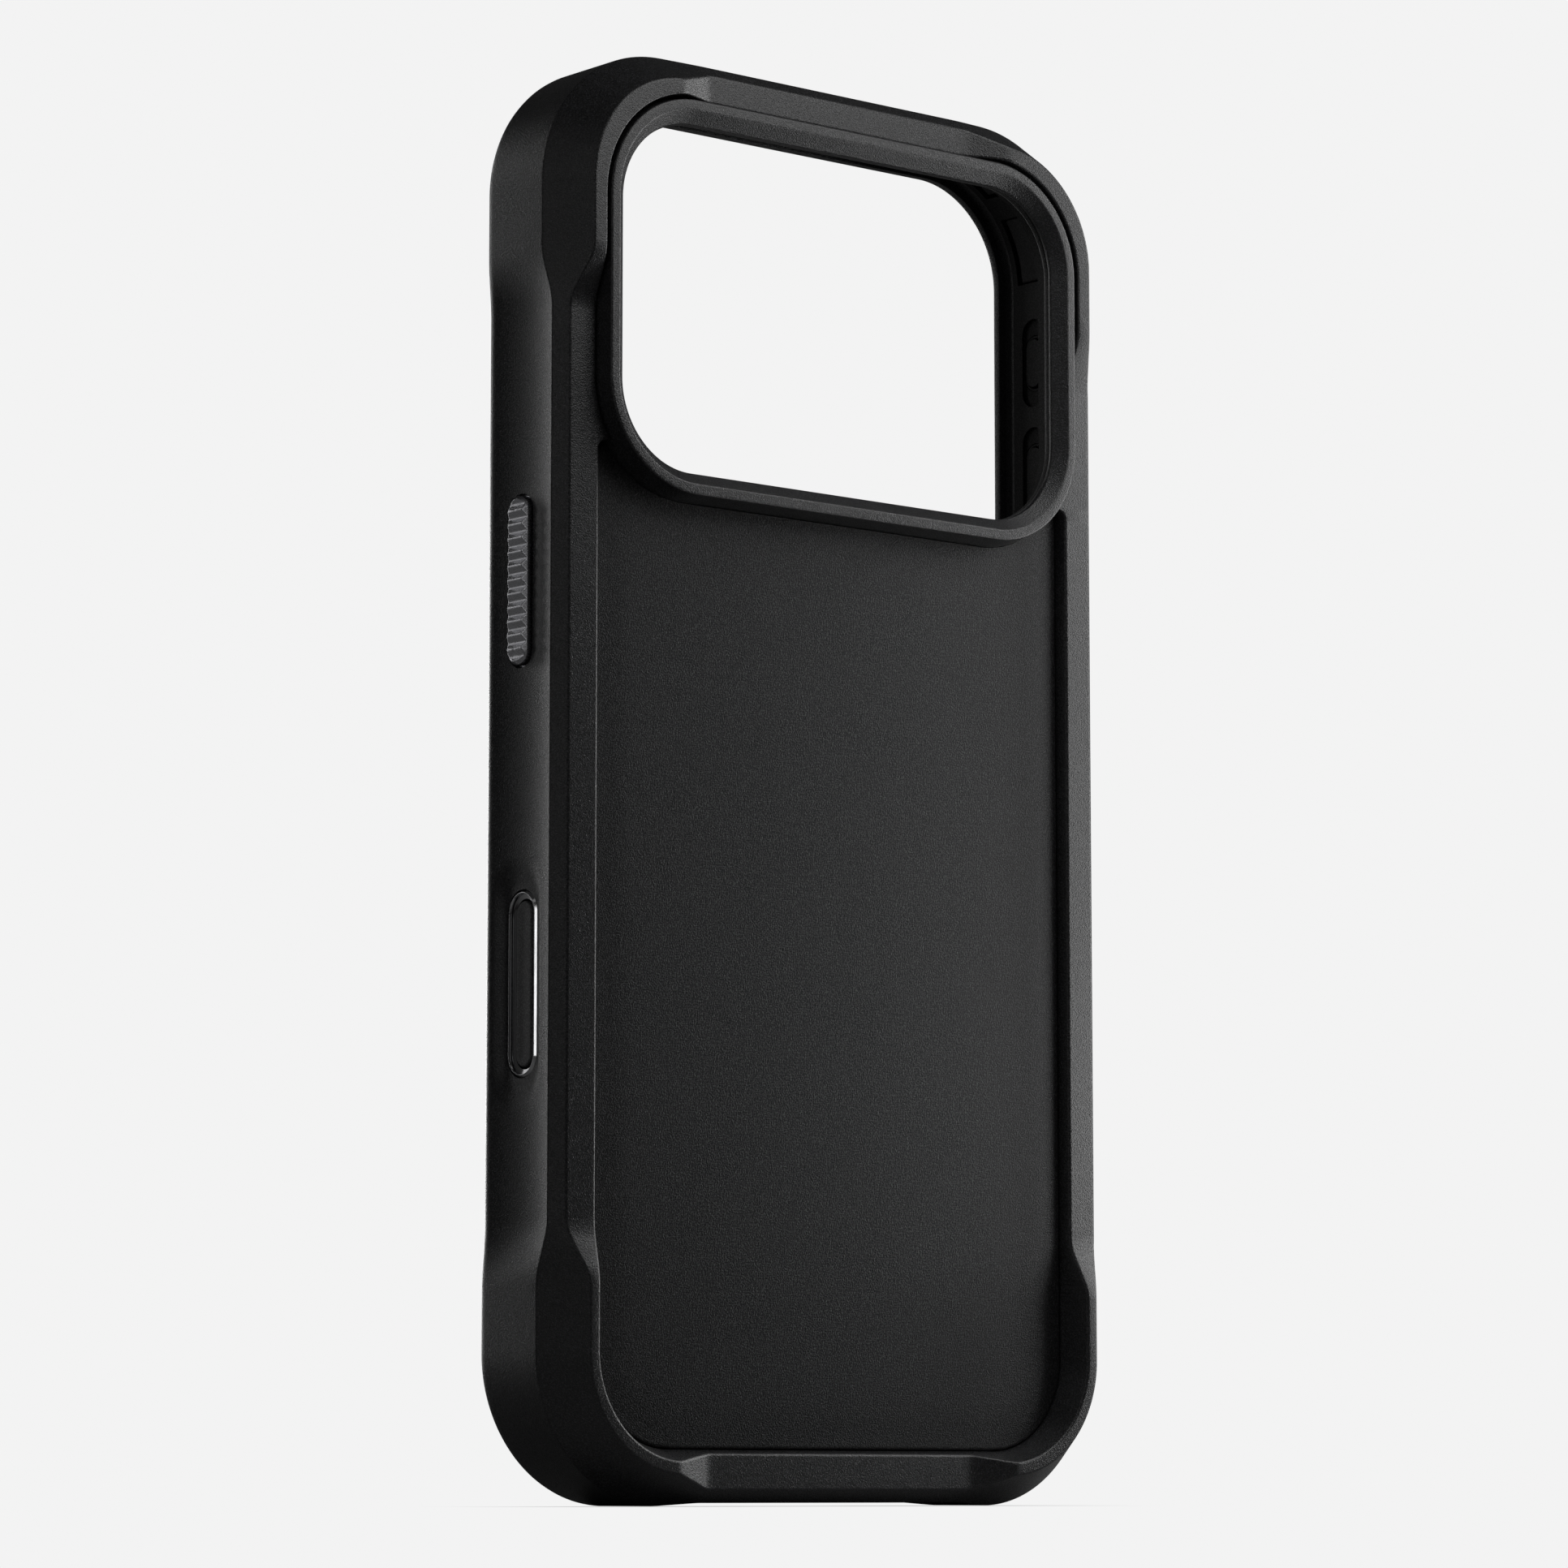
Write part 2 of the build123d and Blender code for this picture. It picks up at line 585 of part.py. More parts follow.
def make_nodes():
    nodes = {
        "bumper_frame": make_bumper_frame(),
        "inner_shell": make_inner_shell(),
        "back_panel": make_back_panel(),
        "panel_adhesive": make_panel_adhesive(),
        "microfibre_lining": make_microfibre_lining(),
        "camera_collar": make_camera_collar(),
        "camera_window_seal": make_camera_window_seal(),
        "magnet_carrier": make_magnet_carrier(),
        "magnet_shield": make_magnet_shield(),
        "magnet_ring": make_magnet_ring(),
        "magnet_cover_film": make_magnet_cover_film(),
        "alignment_magnet": make_alignment_magnet(),
        "capture_ring": make_capture_ring(),
        "capture_pad": make_capture_pad(),
        "capture_stem": make_capture_stem(),
        "capture_gasket": make_gasket(-1, CAPTURE_Z, CAPTURE_STEM_LENGTH),
    }
    for name, side, centre_z, length in BUTTONS:
        nodes[f"{name}_cap"] = make_button_cap(side, centre_z, length)
        nodes[f"{name}_stem"] = make_button_stem(side, centre_z, length)
        nodes[f"{name}_gasket"] = make_gasket(side, centre_z, length - STEM_SHORTER)
    nodes.update(make_corner_cushions())
    return nodes


os.makedirs("parts", exist_ok=True)
for node_name, node_part in make_nodes().items():
    export_step(node_part, f"parts/{node_name}.step")
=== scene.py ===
import json
import math

import bmesh
import bpy
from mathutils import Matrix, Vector

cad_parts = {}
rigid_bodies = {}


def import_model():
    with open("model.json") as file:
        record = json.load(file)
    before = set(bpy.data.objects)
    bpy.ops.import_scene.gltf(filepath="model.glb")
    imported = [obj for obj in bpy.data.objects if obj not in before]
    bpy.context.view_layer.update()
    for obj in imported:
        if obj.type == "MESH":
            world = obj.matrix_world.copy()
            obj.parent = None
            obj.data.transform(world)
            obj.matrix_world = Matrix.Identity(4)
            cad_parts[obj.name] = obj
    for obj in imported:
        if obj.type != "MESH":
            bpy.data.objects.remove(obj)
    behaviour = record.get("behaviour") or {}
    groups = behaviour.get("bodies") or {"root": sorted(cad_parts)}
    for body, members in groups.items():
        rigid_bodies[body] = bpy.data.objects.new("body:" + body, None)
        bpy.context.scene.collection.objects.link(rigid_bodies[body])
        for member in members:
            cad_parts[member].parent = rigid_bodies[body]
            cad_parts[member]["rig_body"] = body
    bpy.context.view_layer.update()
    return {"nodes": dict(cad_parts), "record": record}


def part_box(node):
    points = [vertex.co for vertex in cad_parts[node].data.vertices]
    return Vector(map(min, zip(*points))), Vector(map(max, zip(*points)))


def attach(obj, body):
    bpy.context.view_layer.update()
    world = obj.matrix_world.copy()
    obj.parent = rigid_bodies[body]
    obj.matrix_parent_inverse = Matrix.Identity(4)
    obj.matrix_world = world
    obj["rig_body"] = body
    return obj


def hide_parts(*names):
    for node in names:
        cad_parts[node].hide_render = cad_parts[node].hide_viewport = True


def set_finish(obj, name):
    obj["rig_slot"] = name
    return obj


# Looks of the rugged phone case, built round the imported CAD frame.
# Lengths in this file are millimetres until they reach a mesh, which is in metres.
# +Z is up, the outside of the back faces -Y, and the side button and capture key are on -X.

MM = 0.001

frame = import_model()
SLOTS = {part["node"]: part["material_slot"] for part in frame["record"]["subparts"]}


def node_box(node):
    """A CAD node's lowest and highest corners, in millimetres."""
    low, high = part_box(node)
    return low / MM, high / MM


# Outline of the case and its section, from the CAD frame where it says them
FRAME_LOW, FRAME_HIGH = node_box("bumper_frame")
HALF_WIDTH = FRAME_HIGH.x
HEIGHT = FRAME_HIGH.z
FRONT_Y = FRAME_HIGH.y
BACK_Y = FRAME_LOW.y
MID_Z = HEIGHT / 2
CORNER_RADIUS = 16.2

# Bumper section: pads at the corners, slimmer runs between
PAD_PROUD = 0.35
PAD_CREASE_Y = -2.75
PAD_CHAMFER = 3.35
RUN_CREASE_Y = -4.1
RUN_CHAMFER = 1.4
RUN_BACK_Y = -5.7
FRONT_ROUND = 1.5
GRIP_SCOOP = 0.7
RIM_FALL = 0.16
PAD_LENGTH = 24.0
SIDE_RAMP = 5.0
END_RAMP_START = 24.0
END_RAMP = 5.2
SIDE_SOFTNESS = 2.2
END_SOFTNESS = 0.9
RAMP_SAMPLES = 13
RECESS_SLOPE = math.tan(math.radians(22.0))
OPENING_BLEND = 0.6
OPENING_SEARCH = 2.0
SIDE_NORMAL = 0.999
CORNER_NORMAL = 0.02

# Rounding of the bumper's edges, as (radius, steps), and how finely its rounds and walls are sampled
RIM_ROUND = (0.28, 5)
LIP_UNDER_ROUND = (0.15, 2)
LIP_ROUND = (0.3, 4)
CREASE_ROUND = (0.3, 4)
CHAMFER_ROUND = (0.22, 4)
FRONT_STEPS = 7
SIDE_STEPS = 30
ARC_DEGREES = 2.5
BUMPER_STEP = 0.5
RAMP_REACH = 4.2
RAMP_STEP = 0.2
NOTCH_BELOW = 0.5
NOTCH_REACH = 0.8
NOTCH_STEP = 0.05

# Cavity and front lip, as insets from the outline
SHELL_INSET = 2.52
LIP_INSET = 4.4
SHELL_BACK_Y = -3.78
SHELL_TOP_Y = 5.2
LIP_UNDER_Y = 6.6
CAVITY_INSET = 3.45
CUSHION_INSET = 1.34
CUSHION_LOW_Y = -1.63
CUSHION_HIGH_Y = 4.63

# Back panel recess and camera collar
PANEL_LOW, PANEL_HIGH = node_box("back_panel")
PANEL_HALF = PANEL_HIGH.x
PANEL_EDGE_Y = -4.6
PANEL_CROWN = 0.35
PANEL_RADIUS = 10.2
PANEL_TOP_RADIUS = 1.2
PANEL_GROOVE = 0.08
PANEL_FALL = 0.12
PANEL_FALL_REACH = 4.5
PANEL_ROUND = 0.35
PANEL_ROWS = 30
PANEL_TOP_BAND = 1.0
PANEL_TOP_EDGE = 0.4
COLUMN_STEP = 2.5
MIDDLE_COLUMNS = 9
EDGE_STEPS = (0.0, 0.02, 0.06, 0.12, 0.2, 0.3, 0.45, 0.7, 1.1, 1.6, 2.2, 3.0, 4.0, 5.2, 6.8, 8.6)
COLLAR_HALF = 33.86
COLLAR_LOW_Z = 108.2
COLLAR_HIGH_Z = 151.8
COLLAR_RADIUS = 12.0
COLLAR_GROOVE = 0.54
COLLAR_FLARE = 0.46
COLLAR_FOOT_Y = -4.95
COLLAR_KNEE = 0.24
COLLAR_KNEE_SHARE = 0.42
COLLAR_FACE = 1.14
COLLAR_STEP = 1.0
BEVEL_INSET = 2.54
BEVEL_DEPTH = 1.35
UNDERCUT_INSET = 1.25
UNDERCUT_Y = -5.9
# Each corner of the collar's section that is rounded, with its radius and steps
COLLAR_ROUNDS = {1: (0.2, 3), 2: (0.5, 3), 3: (0.26, 5), 4: (0.14, 4), 5: (0.16, 4), 6: (0.08, 2)}
SEAL_LEDGE = 1.17
SEAL_RADIUS = 10.0
SEAL_ROUND = (0.14, 3)

# Side controls
BUTTON_SIDES = (
    ("side_button", -1),
    ("action_button", 1),
    ("volume_up_button", 1),
    ("volume_down_button", 1),
)
BUTTON_Y = 1.9
CAP_WIDTH = 3.4
CAP_FLANGE = 0.45
CAP_BEVEL = 0.5
CAP_BEVEL_SLOPE = 1.15
CAP_SHOULDER = 0.12
CAP_INSETS = (*(0.03 * i for i in range(1, 18)), 0.6, 0.75, 0.95, 1.2, 1.45, CAP_WIDTH / 2)
CAP_FIT = 0.2
CAP_ARC_STEPS = 20
RIB_PITCH = 1.5
RIB_DEPTH = 0.45
RIB_SHARPNESS = 0.96
RIB_SAMPLE = 0.1
GASKET_WALL = 0.3
GASKET_LIP = 0.09
RING_FIT = 0.07
CAPTURE_LOW, CAPTURE_HIGH = node_box("capture_ring")
CAPTURE_Z = (CAPTURE_LOW.z + CAPTURE_HIGH.z) / 2
RING_LENGTH = CAPTURE_HIGH.z - CAPTURE_LOW.z
RING_WIDTH = CAPTURE_HIGH.y - CAPTURE_LOW.y
RING_FACE_X = -CAPTURE_LOW.x
RING_ARC_STEPS = 24
RING_RUN_STEPS = 30
DISH_BELOW = 0.14
DISH_LENGTH = 28.0
DISH_WIDTH = 7.8
CAPTURE_PAD_ROUND = 0.2
CAPTURE_PAD_DISH = 0.06
CAPTURE_PAD_INSETS = (0.3, 0.5, 0.8, 1.1)
CAPTURE_PAD_STEPS = 6

# The capture ring's section as (depth below its face, inset from its outer edge). The outer bevel has a
# point just inside each of its edges, which keeps its shading flat.
RING_BAND = 0.9
RING_SECTION = (
    (0.27, 0.0),
    (0.25, 0.01),
    (0.234, 0.0265),
    (0.036, 0.2295),
    (0.02, 0.246),
    (0.0, 0.3),
    (0.03, 0.34),
    (0.5, 0.4),
    (0.55, 0.62),
    (0.62, RING_BAND),
)

# Holes through the side walls: distances from the middle of the case, and how much wider than the cap
CUTTER_IN_X = 36.5
HOLE_STEP_X = 38.0
HOLE_STEP_RISE = 0.001
HOLE_MOUTH_X = 38.3
HOLE_FLARE_X = 38.75
CUTTER_OUT_X = 41.0
FLANGE_ROOM = 1.6
HOLE_FLARE = 1.0
HOLE_FLARE_OUT = 3.4

# Holes through the bottom wall, as (z, length, width) from below it to above it
PORT_LEVELS = ((-1.0, 14.4, 7.8), (0.75, 13.0, 6.4), (6.0, 13.0, 6.4))
SOUND_LEVELS = ((-1.0, 3.0, 3.0), (0.5, 1.7, 1.7), (6.0, 1.7, 1.7))
SOUND_START = 10.2
SOUND_PITCH = 2.6
SOUND_HOLES = 3
BOTTOM_ARC_STEPS = 12

# Soft pieces inside the case
LINING_HOLE_INSET = 0.85
LINING_STEP = 3.0
LINING_ARC_DEGREES = 3.0
CUSHION_SOFTNESS = 0.4
CUSHION_GAP = 0.03
RIDGE_ARCS = ((3.0, 37.0), (53.0, 87.0))
RIDGE_DEPTHS = (0.5, 4.1)
RIDGE_SUNK = 0.3
RIDGE_OVERLAP = 0.3
RIDGE_SOFTNESS = 0.25
SECTOR_DEGREES = 3
SECTOR_END = 1.2
SECTOR_END_CURVE = ((0.0, 1.0), (0.25, 0.35), (0.7, 0.08))
CUSHION_NODES = tuple(
    f"corner_cushion_{end}_{side}" for end in ("top", "bottom") for side in ("left", "right")
)
GASKET_NODES = ("capture_gasket", *(f"{name}_gasket" for name, _ in BUTTON_SIDES))

# Mesh clean-up distances, in metres
MERGE_DISTANCE = 2e-7
DEGENERATE_DISTANCE = 1e-7

# The weighting of the normals, and the angle, in degrees, from which an edge is drawn sharp
NORMAL_WEIGHT = 70
BUMPER_SHARP = 40
PLATE_SHARP = 50
CONTROL_SHARP = 60

# How closely reach_inward searches, and the share of an edge that one rounded corner may use up
REACH_TRIES = 60
REACH_CLOSE = 1e-4
LONGEST_ROUND = 0.45


# Small geometry helpers


def mix(a, b, share):
    """The value that lies a share of the way from a to b."""
    return a + (b - a) * share


def smoothstep(share):
    """0 up to 0, 1 from 1, and a smooth rise between them."""
    share = min(max(share, 0.0), 1.0)
    return share * share * (3 - 2 * share)


def rounded_box_distance(x, z, half_width, low_z, high_z, low_radius, high_radius):
    """Signed distance from (x, z) to a rounded rectangle across the case, negative inside."""
    centre_z = (low_z + high_z) / 2
    radius = high_radius if z > centre_z else low_radius
    dx = abs(x) - half_width + radius
    dz = abs(z - centre_z) - (high_z - low_z) / 2 + radius
    outside = math.hypot(max(dx, 0.0), max(dz, 0.0))
    return outside + min(max(dx, dz), 0.0) - radius


def recess_distance(x, z):
    """Signed distance to the edge of the recess that holds the back panel."""
    half, low_z, high_z = PANEL_HALF + PANEL_GROOVE, PANEL_LOW.z - PANEL_GROOVE, PANEL_HIGH.z + PANEL_GROOVE
    low_radius, high_radius = PANEL_RADIUS + PANEL_GROOVE, PANEL_TOP_RADIUS + PANEL_GROOVE
    return rounded_box_distance(x, z, half, low_z, high_z, low_radius, high_radius)


def collar_distance(x, z, grow=0.0):
    """Signed distance to the collar's outline, made larger by grow all round."""
    radius = COLLAR_RADIUS + grow
    low_z = COLLAR_LOW_Z - grow
    high_z = COLLAR_HIGH_Z + grow
    return rounded_box_distance(x, z, COLLAR_HALF + grow, low_z, high_z, radius, radius)


def spaced(start, end, step, closer=()):
    """Values from start up to but not including end; closer adds (value, reach, step) fine stretches."""
    count = max(round(abs(end - start) / step), 1)
    values = {round(mix(start, end, i / count), 4) for i in range(count)}
    low, high = min(start, end), max(start, end)
    for value, reach, fine in closer:
        for i in range(-round(reach / fine), round(reach / fine) + 1):
            extra = round(value + i * fine, 4)
            if low < extra < high:
                values.add(extra)
    return sorted(values, reverse=end < start)


def outline_stations(half_width, low_z, high_z, radius, run_step, arc_degrees, closer=()):
    """Points and outward normals (x, z, nx, nz) round a rounded rectangle, anticlockwise from the right."""
    corner_x = half_width - radius
    low_corner = low_z + radius
    high_corner = high_z - radius
    found = []

    def arc(centre_x, centre_z, start):
        for i in range(round(90 / arc_degrees)):
            angle = math.radians(start + i * arc_degrees)
            nx, nz = math.cos(angle), math.sin(angle)
            found.append((centre_x + radius * nx, centre_z + radius * nz, nx, nz))

    for z in spaced(low_corner, high_corner, run_step, closer):
        found.append((half_width, z, 1.0, 0.0))
    arc(corner_x, high_corner, 0)
    for x in spaced(corner_x, -corner_x, run_step):
        found.append((x, high_z, 0.0, 1.0))
    arc(-corner_x, high_corner, 90)
    for z in spaced(high_corner, low_corner, run_step, closer):
        found.append((-half_width, z, -1.0, 0.0))
    arc(-corner_x, low_corner, 180)
    for x in spaced(-corner_x, corner_x, run_step):
        found.append((x, low_z, 0.0, -1.0))
    arc(corner_x, low_corner, 270)
    return found


def softened(points, corners):
    """Replaces chosen corners of a closed section by short curves; corners maps index to (radius, steps)."""
    result = []
    count = len(points)
    for i, point in enumerate(points):
        if i not in corners:
            result.append(point)
            continue
        radius, steps = corners[i]
        here = Vector(point)
        before = Vector(points[i - 1]) - here
        after = Vector(points[(i + 1) % count]) - here
        reach = min(radius, before.length * LONGEST_ROUND, after.length * LONGEST_ROUND)
        start = here + before.normalized() * reach
        end = here + after.normalized() * reach
        for step in range(steps + 1):
            t = step / steps
            result.append(tuple(start * (1 - t) ** 2 + here * 2 * t * (1 - t) + end * t * t))
    return result


def placed(station, inset, y):
    """A point of a section, in metres: inset inwards from the outline, at depth y."""
    x, z, nx, nz = station
    return ((x - nx * inset) * MM, y * MM, (z - nz * inset) * MM)


def lofted(name, stations, sections):
    """A closed ring of quads through one section of equal length at each station."""
    vertices = [placed(station, *point) for station, section in zip(stations, sections) for point in section]
    size = len(sections[0])
    count = len(stations)
    faces = []
    for i in range(count):
        here, there = i * size, (i + 1) % count * size
        for j in range(size):
            k = (j + 1) % size
            faces.append((here + j, there + j, there + k, here + k))
    return mesh_object(name, vertices, faces)


def mesh_object(name, vertices, faces):
    """A new object with doubled points merged, faces turned outwards and smooth shading."""
    mesh = bpy.data.meshes.new(name)
    mesh.from_pydata(vertices, [], faces)
    work = bmesh.new()
    work.from_mesh(mesh)
    bmesh.ops.remove_doubles(work, verts=work.verts, dist=MERGE_DISTANCE)
    bmesh.ops.dissolve_degenerate(work, edges=work.edges, dist=DEGENERATE_DISTANCE)
    bmesh.ops.recalc_face_normals(work, faces=work.faces)
    for face in work.faces:
        face.smooth = True
    work.to_mesh(mesh)
    work.free()
    piece = bpy.data.objects.new(name, mesh)
    bpy.context.scene.collection.objects.link(piece)
    return piece


def weighted(piece, sharp_degrees):
    """Flat faces keep flat shading and the small rounded edges between them carry the turn."""
    mesh = piece.data
    work = bmesh.new()
    work.from_mesh(mesh)
    limit = math.radians(sharp_degrees)
    for edge in work.edges:
        edge.smooth = len(edge.link_faces) == 2 and edge.calc_face_angle(0) < limit
    work.to_mesh(mesh)
    work.free()
    modifier = piece.modifiers.new("weighted normals", "WEIGHTED_NORMAL")
    modifier.keep_sharp = True
    modifier.weight = NORMAL_WEIGHT


def stands_for(piece, node, sharp_degrees=PLATE_SHARP):
    """Finishes a piece that replaces a CAD node, with that node's material slot and body."""
    weighted(piece, sharp_degrees)
    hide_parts(node)
    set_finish(piece, SLOTS[node])
    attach(piece, frame["nodes"][node]["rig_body"])
    return piece


def slot_ring(length, width, arc_steps, run_steps=1):
    """Points (y, z) round a slot with round ends that runs along z, about its centre."""
    radius = width / 2
    straight = length / 2 - radius
    found = []
    for end, start in ((1, 0), (-1, 180)):
        for i in range(arc_steps):
            angle = math.radians(start + 180 * i / arc_steps)
            found.append((radius * math.cos(angle), end * straight + radius * math.sin(angle)))
        for i in range(run_steps):
            found.append((-end * radius, end * straight * (1 - 2 * i / run_steps)))
    return found


def ringed_solid(name, rings, open_end=False):
    """A closed solid through rings of equal length, in metres; open_end when the last ring closes itself."""
    vertices = [point for ring in rings for point in ring]
    size = len(rings[0])
    faces = [
        (i * size + j, i * size + (j + 1) % size, (i + 1) * size + (j + 1) % size, (i + 1) * size + j)
        for i in range(len(rings) - 1)
        for j in range(size)
    ]
    faces.append(tuple(reversed(range(size))))
    if not open_end:
        last = (len(rings) - 1) * size
        faces.append(tuple(range(last, last + size)))
    return mesh_object(name, vertices, faces)


def wall_point(side, centre_z, x, y, z):
    """A point of a side control, in metres: x out from the middle of the case, y and z about the control."""
    return (side * x * MM, (BUTTON_Y + y) * MM, (centre_z + z) * MM)


def wall_slot(name, side, centre_z, levels, arc_steps, run_steps=1):
    """A slot-shaped solid in a side wall; each level is (x or a function of y and z, length, width)."""
    rings = []
    for depth, length, width in levels:
        ring = []
        for y, z in slot_ring(length, width, arc_steps, run_steps):
            x = depth(y, z) if callable(depth) else depth
            ring.append(wall_point(side, centre_z, x, y, z))
        rings.append(ring)
    return ringed_solid(name, rings, open_end=levels[-1][2] == 0)


def combined(piece, others, operation="DIFFERENCE"):
    """Cuts the others out of the piece, or unites them with it, and removes them."""
    for cutter in others:
        modifier = piece.modifiers.new("combine", "BOOLEAN")
        modifier.operation = operation
        modifier.solver = "EXACT"
        modifier.object = cutter
    bpy.context.view_layer.update()
    graph = bpy.context.evaluated_depsgraph_get()
    result = bpy.data.meshes.new_from_object(piece.evaluated_get(graph))
    piece.modifiers.clear()
    piece.data = result
    for cutter in others:
        bpy.data.objects.remove(cutter)


def slot_band(name, side, centre_z, length, width, profile):
    """A closed band round a slot in a side wall; its section is (x, inset) points."""
    rings = []
    for x, inset in profile:
        section = slot_ring(length - 2 * inset, width - 2 * inset, RING_ARC_STEPS, RING_RUN_STEPS)
        rings.append([wall_point(side, centre_z, x, y, z) for y, z in section])
    size = len(rings[0])
    vertices = [point for ring in rings for point in ring]
    faces = []
    for i in range(len(rings)):
        there = (i + 1) % len(rings)
        for j in range(size):
            k = (j + 1) % size
            faces.append((i * size + j, i * size + k, there * size + k, there * size + j))
    return mesh_object(name, vertices, faces)


def prism(name, stations, low_y, high_y):
    """A solid plate over an outline, from low_y to high_y."""
    rings = [[placed(station, 0.0, y) for station in stations] for y in (low_y, high_y)]
    return ringed_solid(name, rings)


# Bumper frame


def pad_share(x, z, nx, nz):
    """1 on the corner pads, 0 on the runs between them, with a ramp whose ends are rounded."""
    if abs(nz) > abs(nx):
        along, length, softness = END_RAMP_START - abs(x), END_RAMP, END_SOFTNESS
    else:
        along, length, softness = MID_Z - PAD_LENGTH - abs(z - MID_Z), SIDE_RAMP, SIDE_SOFTNESS
    spots = [along + softness * (i / (RAMP_SAMPLES - 1) - 0.5) for i in range(RAMP_SAMPLES)]
    return sum(1 - min(max(spot / length, 0.0), 1.0) for spot in spots) / RAMP_SAMPLES


def reach_inward(station, distance, start=0.0):
    """How far in from a station, along its normal, distance(x, z) comes down to zero."""
    x, z, nx, nz = station
    inset = start
    for _ in range(REACH_TRIES):
        gap = distance(x - nx * inset, z - nz * inset)
        if gap < REACH_CLOSE:
            break
        inset += gap
    return inset


def opening_distance(x, z):
    """Distance to the bumper's back opening: the panel's recess joined with the collar's groove."""
    return min(recess_distance(x, z), collar_distance(x, z, COLLAR_GROOVE))


def slope_share(station, inset):
    """1 where the opening is the panel's sloped recess, 0 where it is the collar's upright groove."""
    x, z, nx, nz = station
    px, pz = x - nx * inset, z - nz * inset
    lead = collar_distance(px, pz, COLLAR_GROOVE) - recess_distance(px, pz)
    return smoothstep(lead / OPENING_BLEND)


def dish_surface(y, z, wall_x):
    """The left wall's x distance with the capture control's soft dish pressed into it."""
    ring_run = (RING_LENGTH - RING_WIDTH) / 2
    dish_run = (DISH_LENGTH - DISH_WIDTH) / 2
    up = abs(z - CAPTURE_Z)
    across = y - BUTTON_Y
    from_ring = math.hypot(across, max(up - ring_run, 0.0)) - RING_WIDTH / 2
    from_edge = DISH_WIDTH / 2 - math.hypot(across, max(up - dish_run, 0.0))
    if from_edge <= 0:
        return wall_x
    floor_x = min(RING_FACE_X - DISH_BELOW, wall_x)
    if from_ring <= 0:
        return floor_x
    return mix(floor_x, wall_x, smoothstep(from_ring / (from_ring + from_edge)))


def bumper_section(station):
    """The bumper's closed section at one station, as (inset, y) points."""
    x, z, nx, nz = station
    pad = pad_share(x, z, nx, nz)
    proud = PAD_PROUD * (1 - pad)
    on_side = abs(nx) > SIDE_NORMAL
    scoop = GRIP_SCOOP * (1 - pad) if on_side else 0.0
    rim_fall = RIM_FALL * (1 - pad) if on_side else 0.0
    crease_y = mix(RUN_CREASE_Y, PAD_CREASE_Y, pad)
    chamfer = mix(RUN_CHAMFER, PAD_CHAMFER, pad)
    back_y = mix(RUN_BACK_Y, BACK_Y, pad)
    seam = reach_inward(station, opening_distance, OPENING_SEARCH)
    rim = seam - slope_share(station, seam) * RECESS_SLOPE * (PANEL_EDGE_Y - back_y)
    shoulder_y = FRONT_Y - FRONT_ROUND
    in_corner = min(abs(nx), abs(nz)) > CORNER_NORMAL
    pocket = CUSHION_INSET if in_corner else SHELL_INSET
    corners = [
        (rim, back_y),
        (seam, PANEL_EDGE_Y),
        (seam, SHELL_BACK_Y),
        (SHELL_INSET, SHELL_BACK_Y),
        (SHELL_INSET, CUSHION_LOW_Y),
        (pocket, CUSHION_LOW_Y),
        (pocket, CUSHION_HIGH_Y),
        (SHELL_INSET, CUSHION_HIGH_Y),
        (SHELL_INSET, SHELL_TOP_Y),
        (CAVITY_INSET, SHELL_TOP_Y),
        (CAVITY_INSET, LIP_UNDER_Y),
        (LIP_INSET, LIP_UNDER_Y),
        (LIP_INSET, FRONT_Y),
        (proud + FRONT_ROUND, FRONT_Y),
    ]
    soft = {0: RIM_ROUND, 11: LIP_UNDER_ROUND, 12: LIP_ROUND}
    for step in range(1, FRONT_STEPS):
        angle = math.radians(90 * step / FRONT_STEPS)
        inset = proud + FRONT_ROUND * (1 - math.sin(angle))
        corners.append((inset, shoulder_y + FRONT_ROUND * math.cos(angle)))
    for step in range(SIDE_STEPS + 1):
        share = step / SIDE_STEPS
        y = mix(shoulder_y, crease_y, share)
        inset = proud + scoop * 4 * share * (1 - share)
        if on_side and nx < 0:
            inset = HALF_WIDTH - dish_surface(y, z, HALF_WIDTH - inset)
        corners.append((inset, y))
    soft[len(corners) - 1] = CREASE_ROUND
    corners.append((proud + chamfer, back_y + rim_fall))
    soft[len(corners) - 1] = CHAMFER_ROUND
    return softened(corners, soft)


def control_cutters():
    """Solids that cut the bumper's openings: buttons, capture ring, charging port and sound holes."""
    steps = (
        (CUTTER_IN_X, FLANGE_ROOM),
        (HOLE_STEP_X, FLANGE_ROOM),
        (HOLE_STEP_X + HOLE_STEP_RISE, 2 * CAP_FIT),
        (HOLE_MOUTH_X, 2 * CAP_FIT),
        (HOLE_FLARE_X, HOLE_FLARE),
        (CUTTER_OUT_X, HOLE_FLARE_OUT),
    )
    cutters = []
    for name, side in BUTTON_SIDES:
        low, high = node_box(f"{name}_cap")
        length = high.z - low.z - 2 * CAP_FLANGE
        levels = [(x, length + room, CAP_WIDTH + room) for x, room in steps]
        cutters.append(wall_slot(f"{name}_cutter", side, (low.z + high.z) / 2, levels, CAP_ARC_STEPS))
    length, width = RING_LENGTH + 2 * RING_FIT, RING_WIDTH + 2 * RING_FIT
    levels = [(x, length, width) for x in (CUTTER_IN_X, CUTTER_OUT_X)]
    cutters.append(wall_slot("capture_cutter", -1, CAPTURE_Z, levels, RING_ARC_STEPS))
    cutters.extend(bottom_cutters())
    return cutters


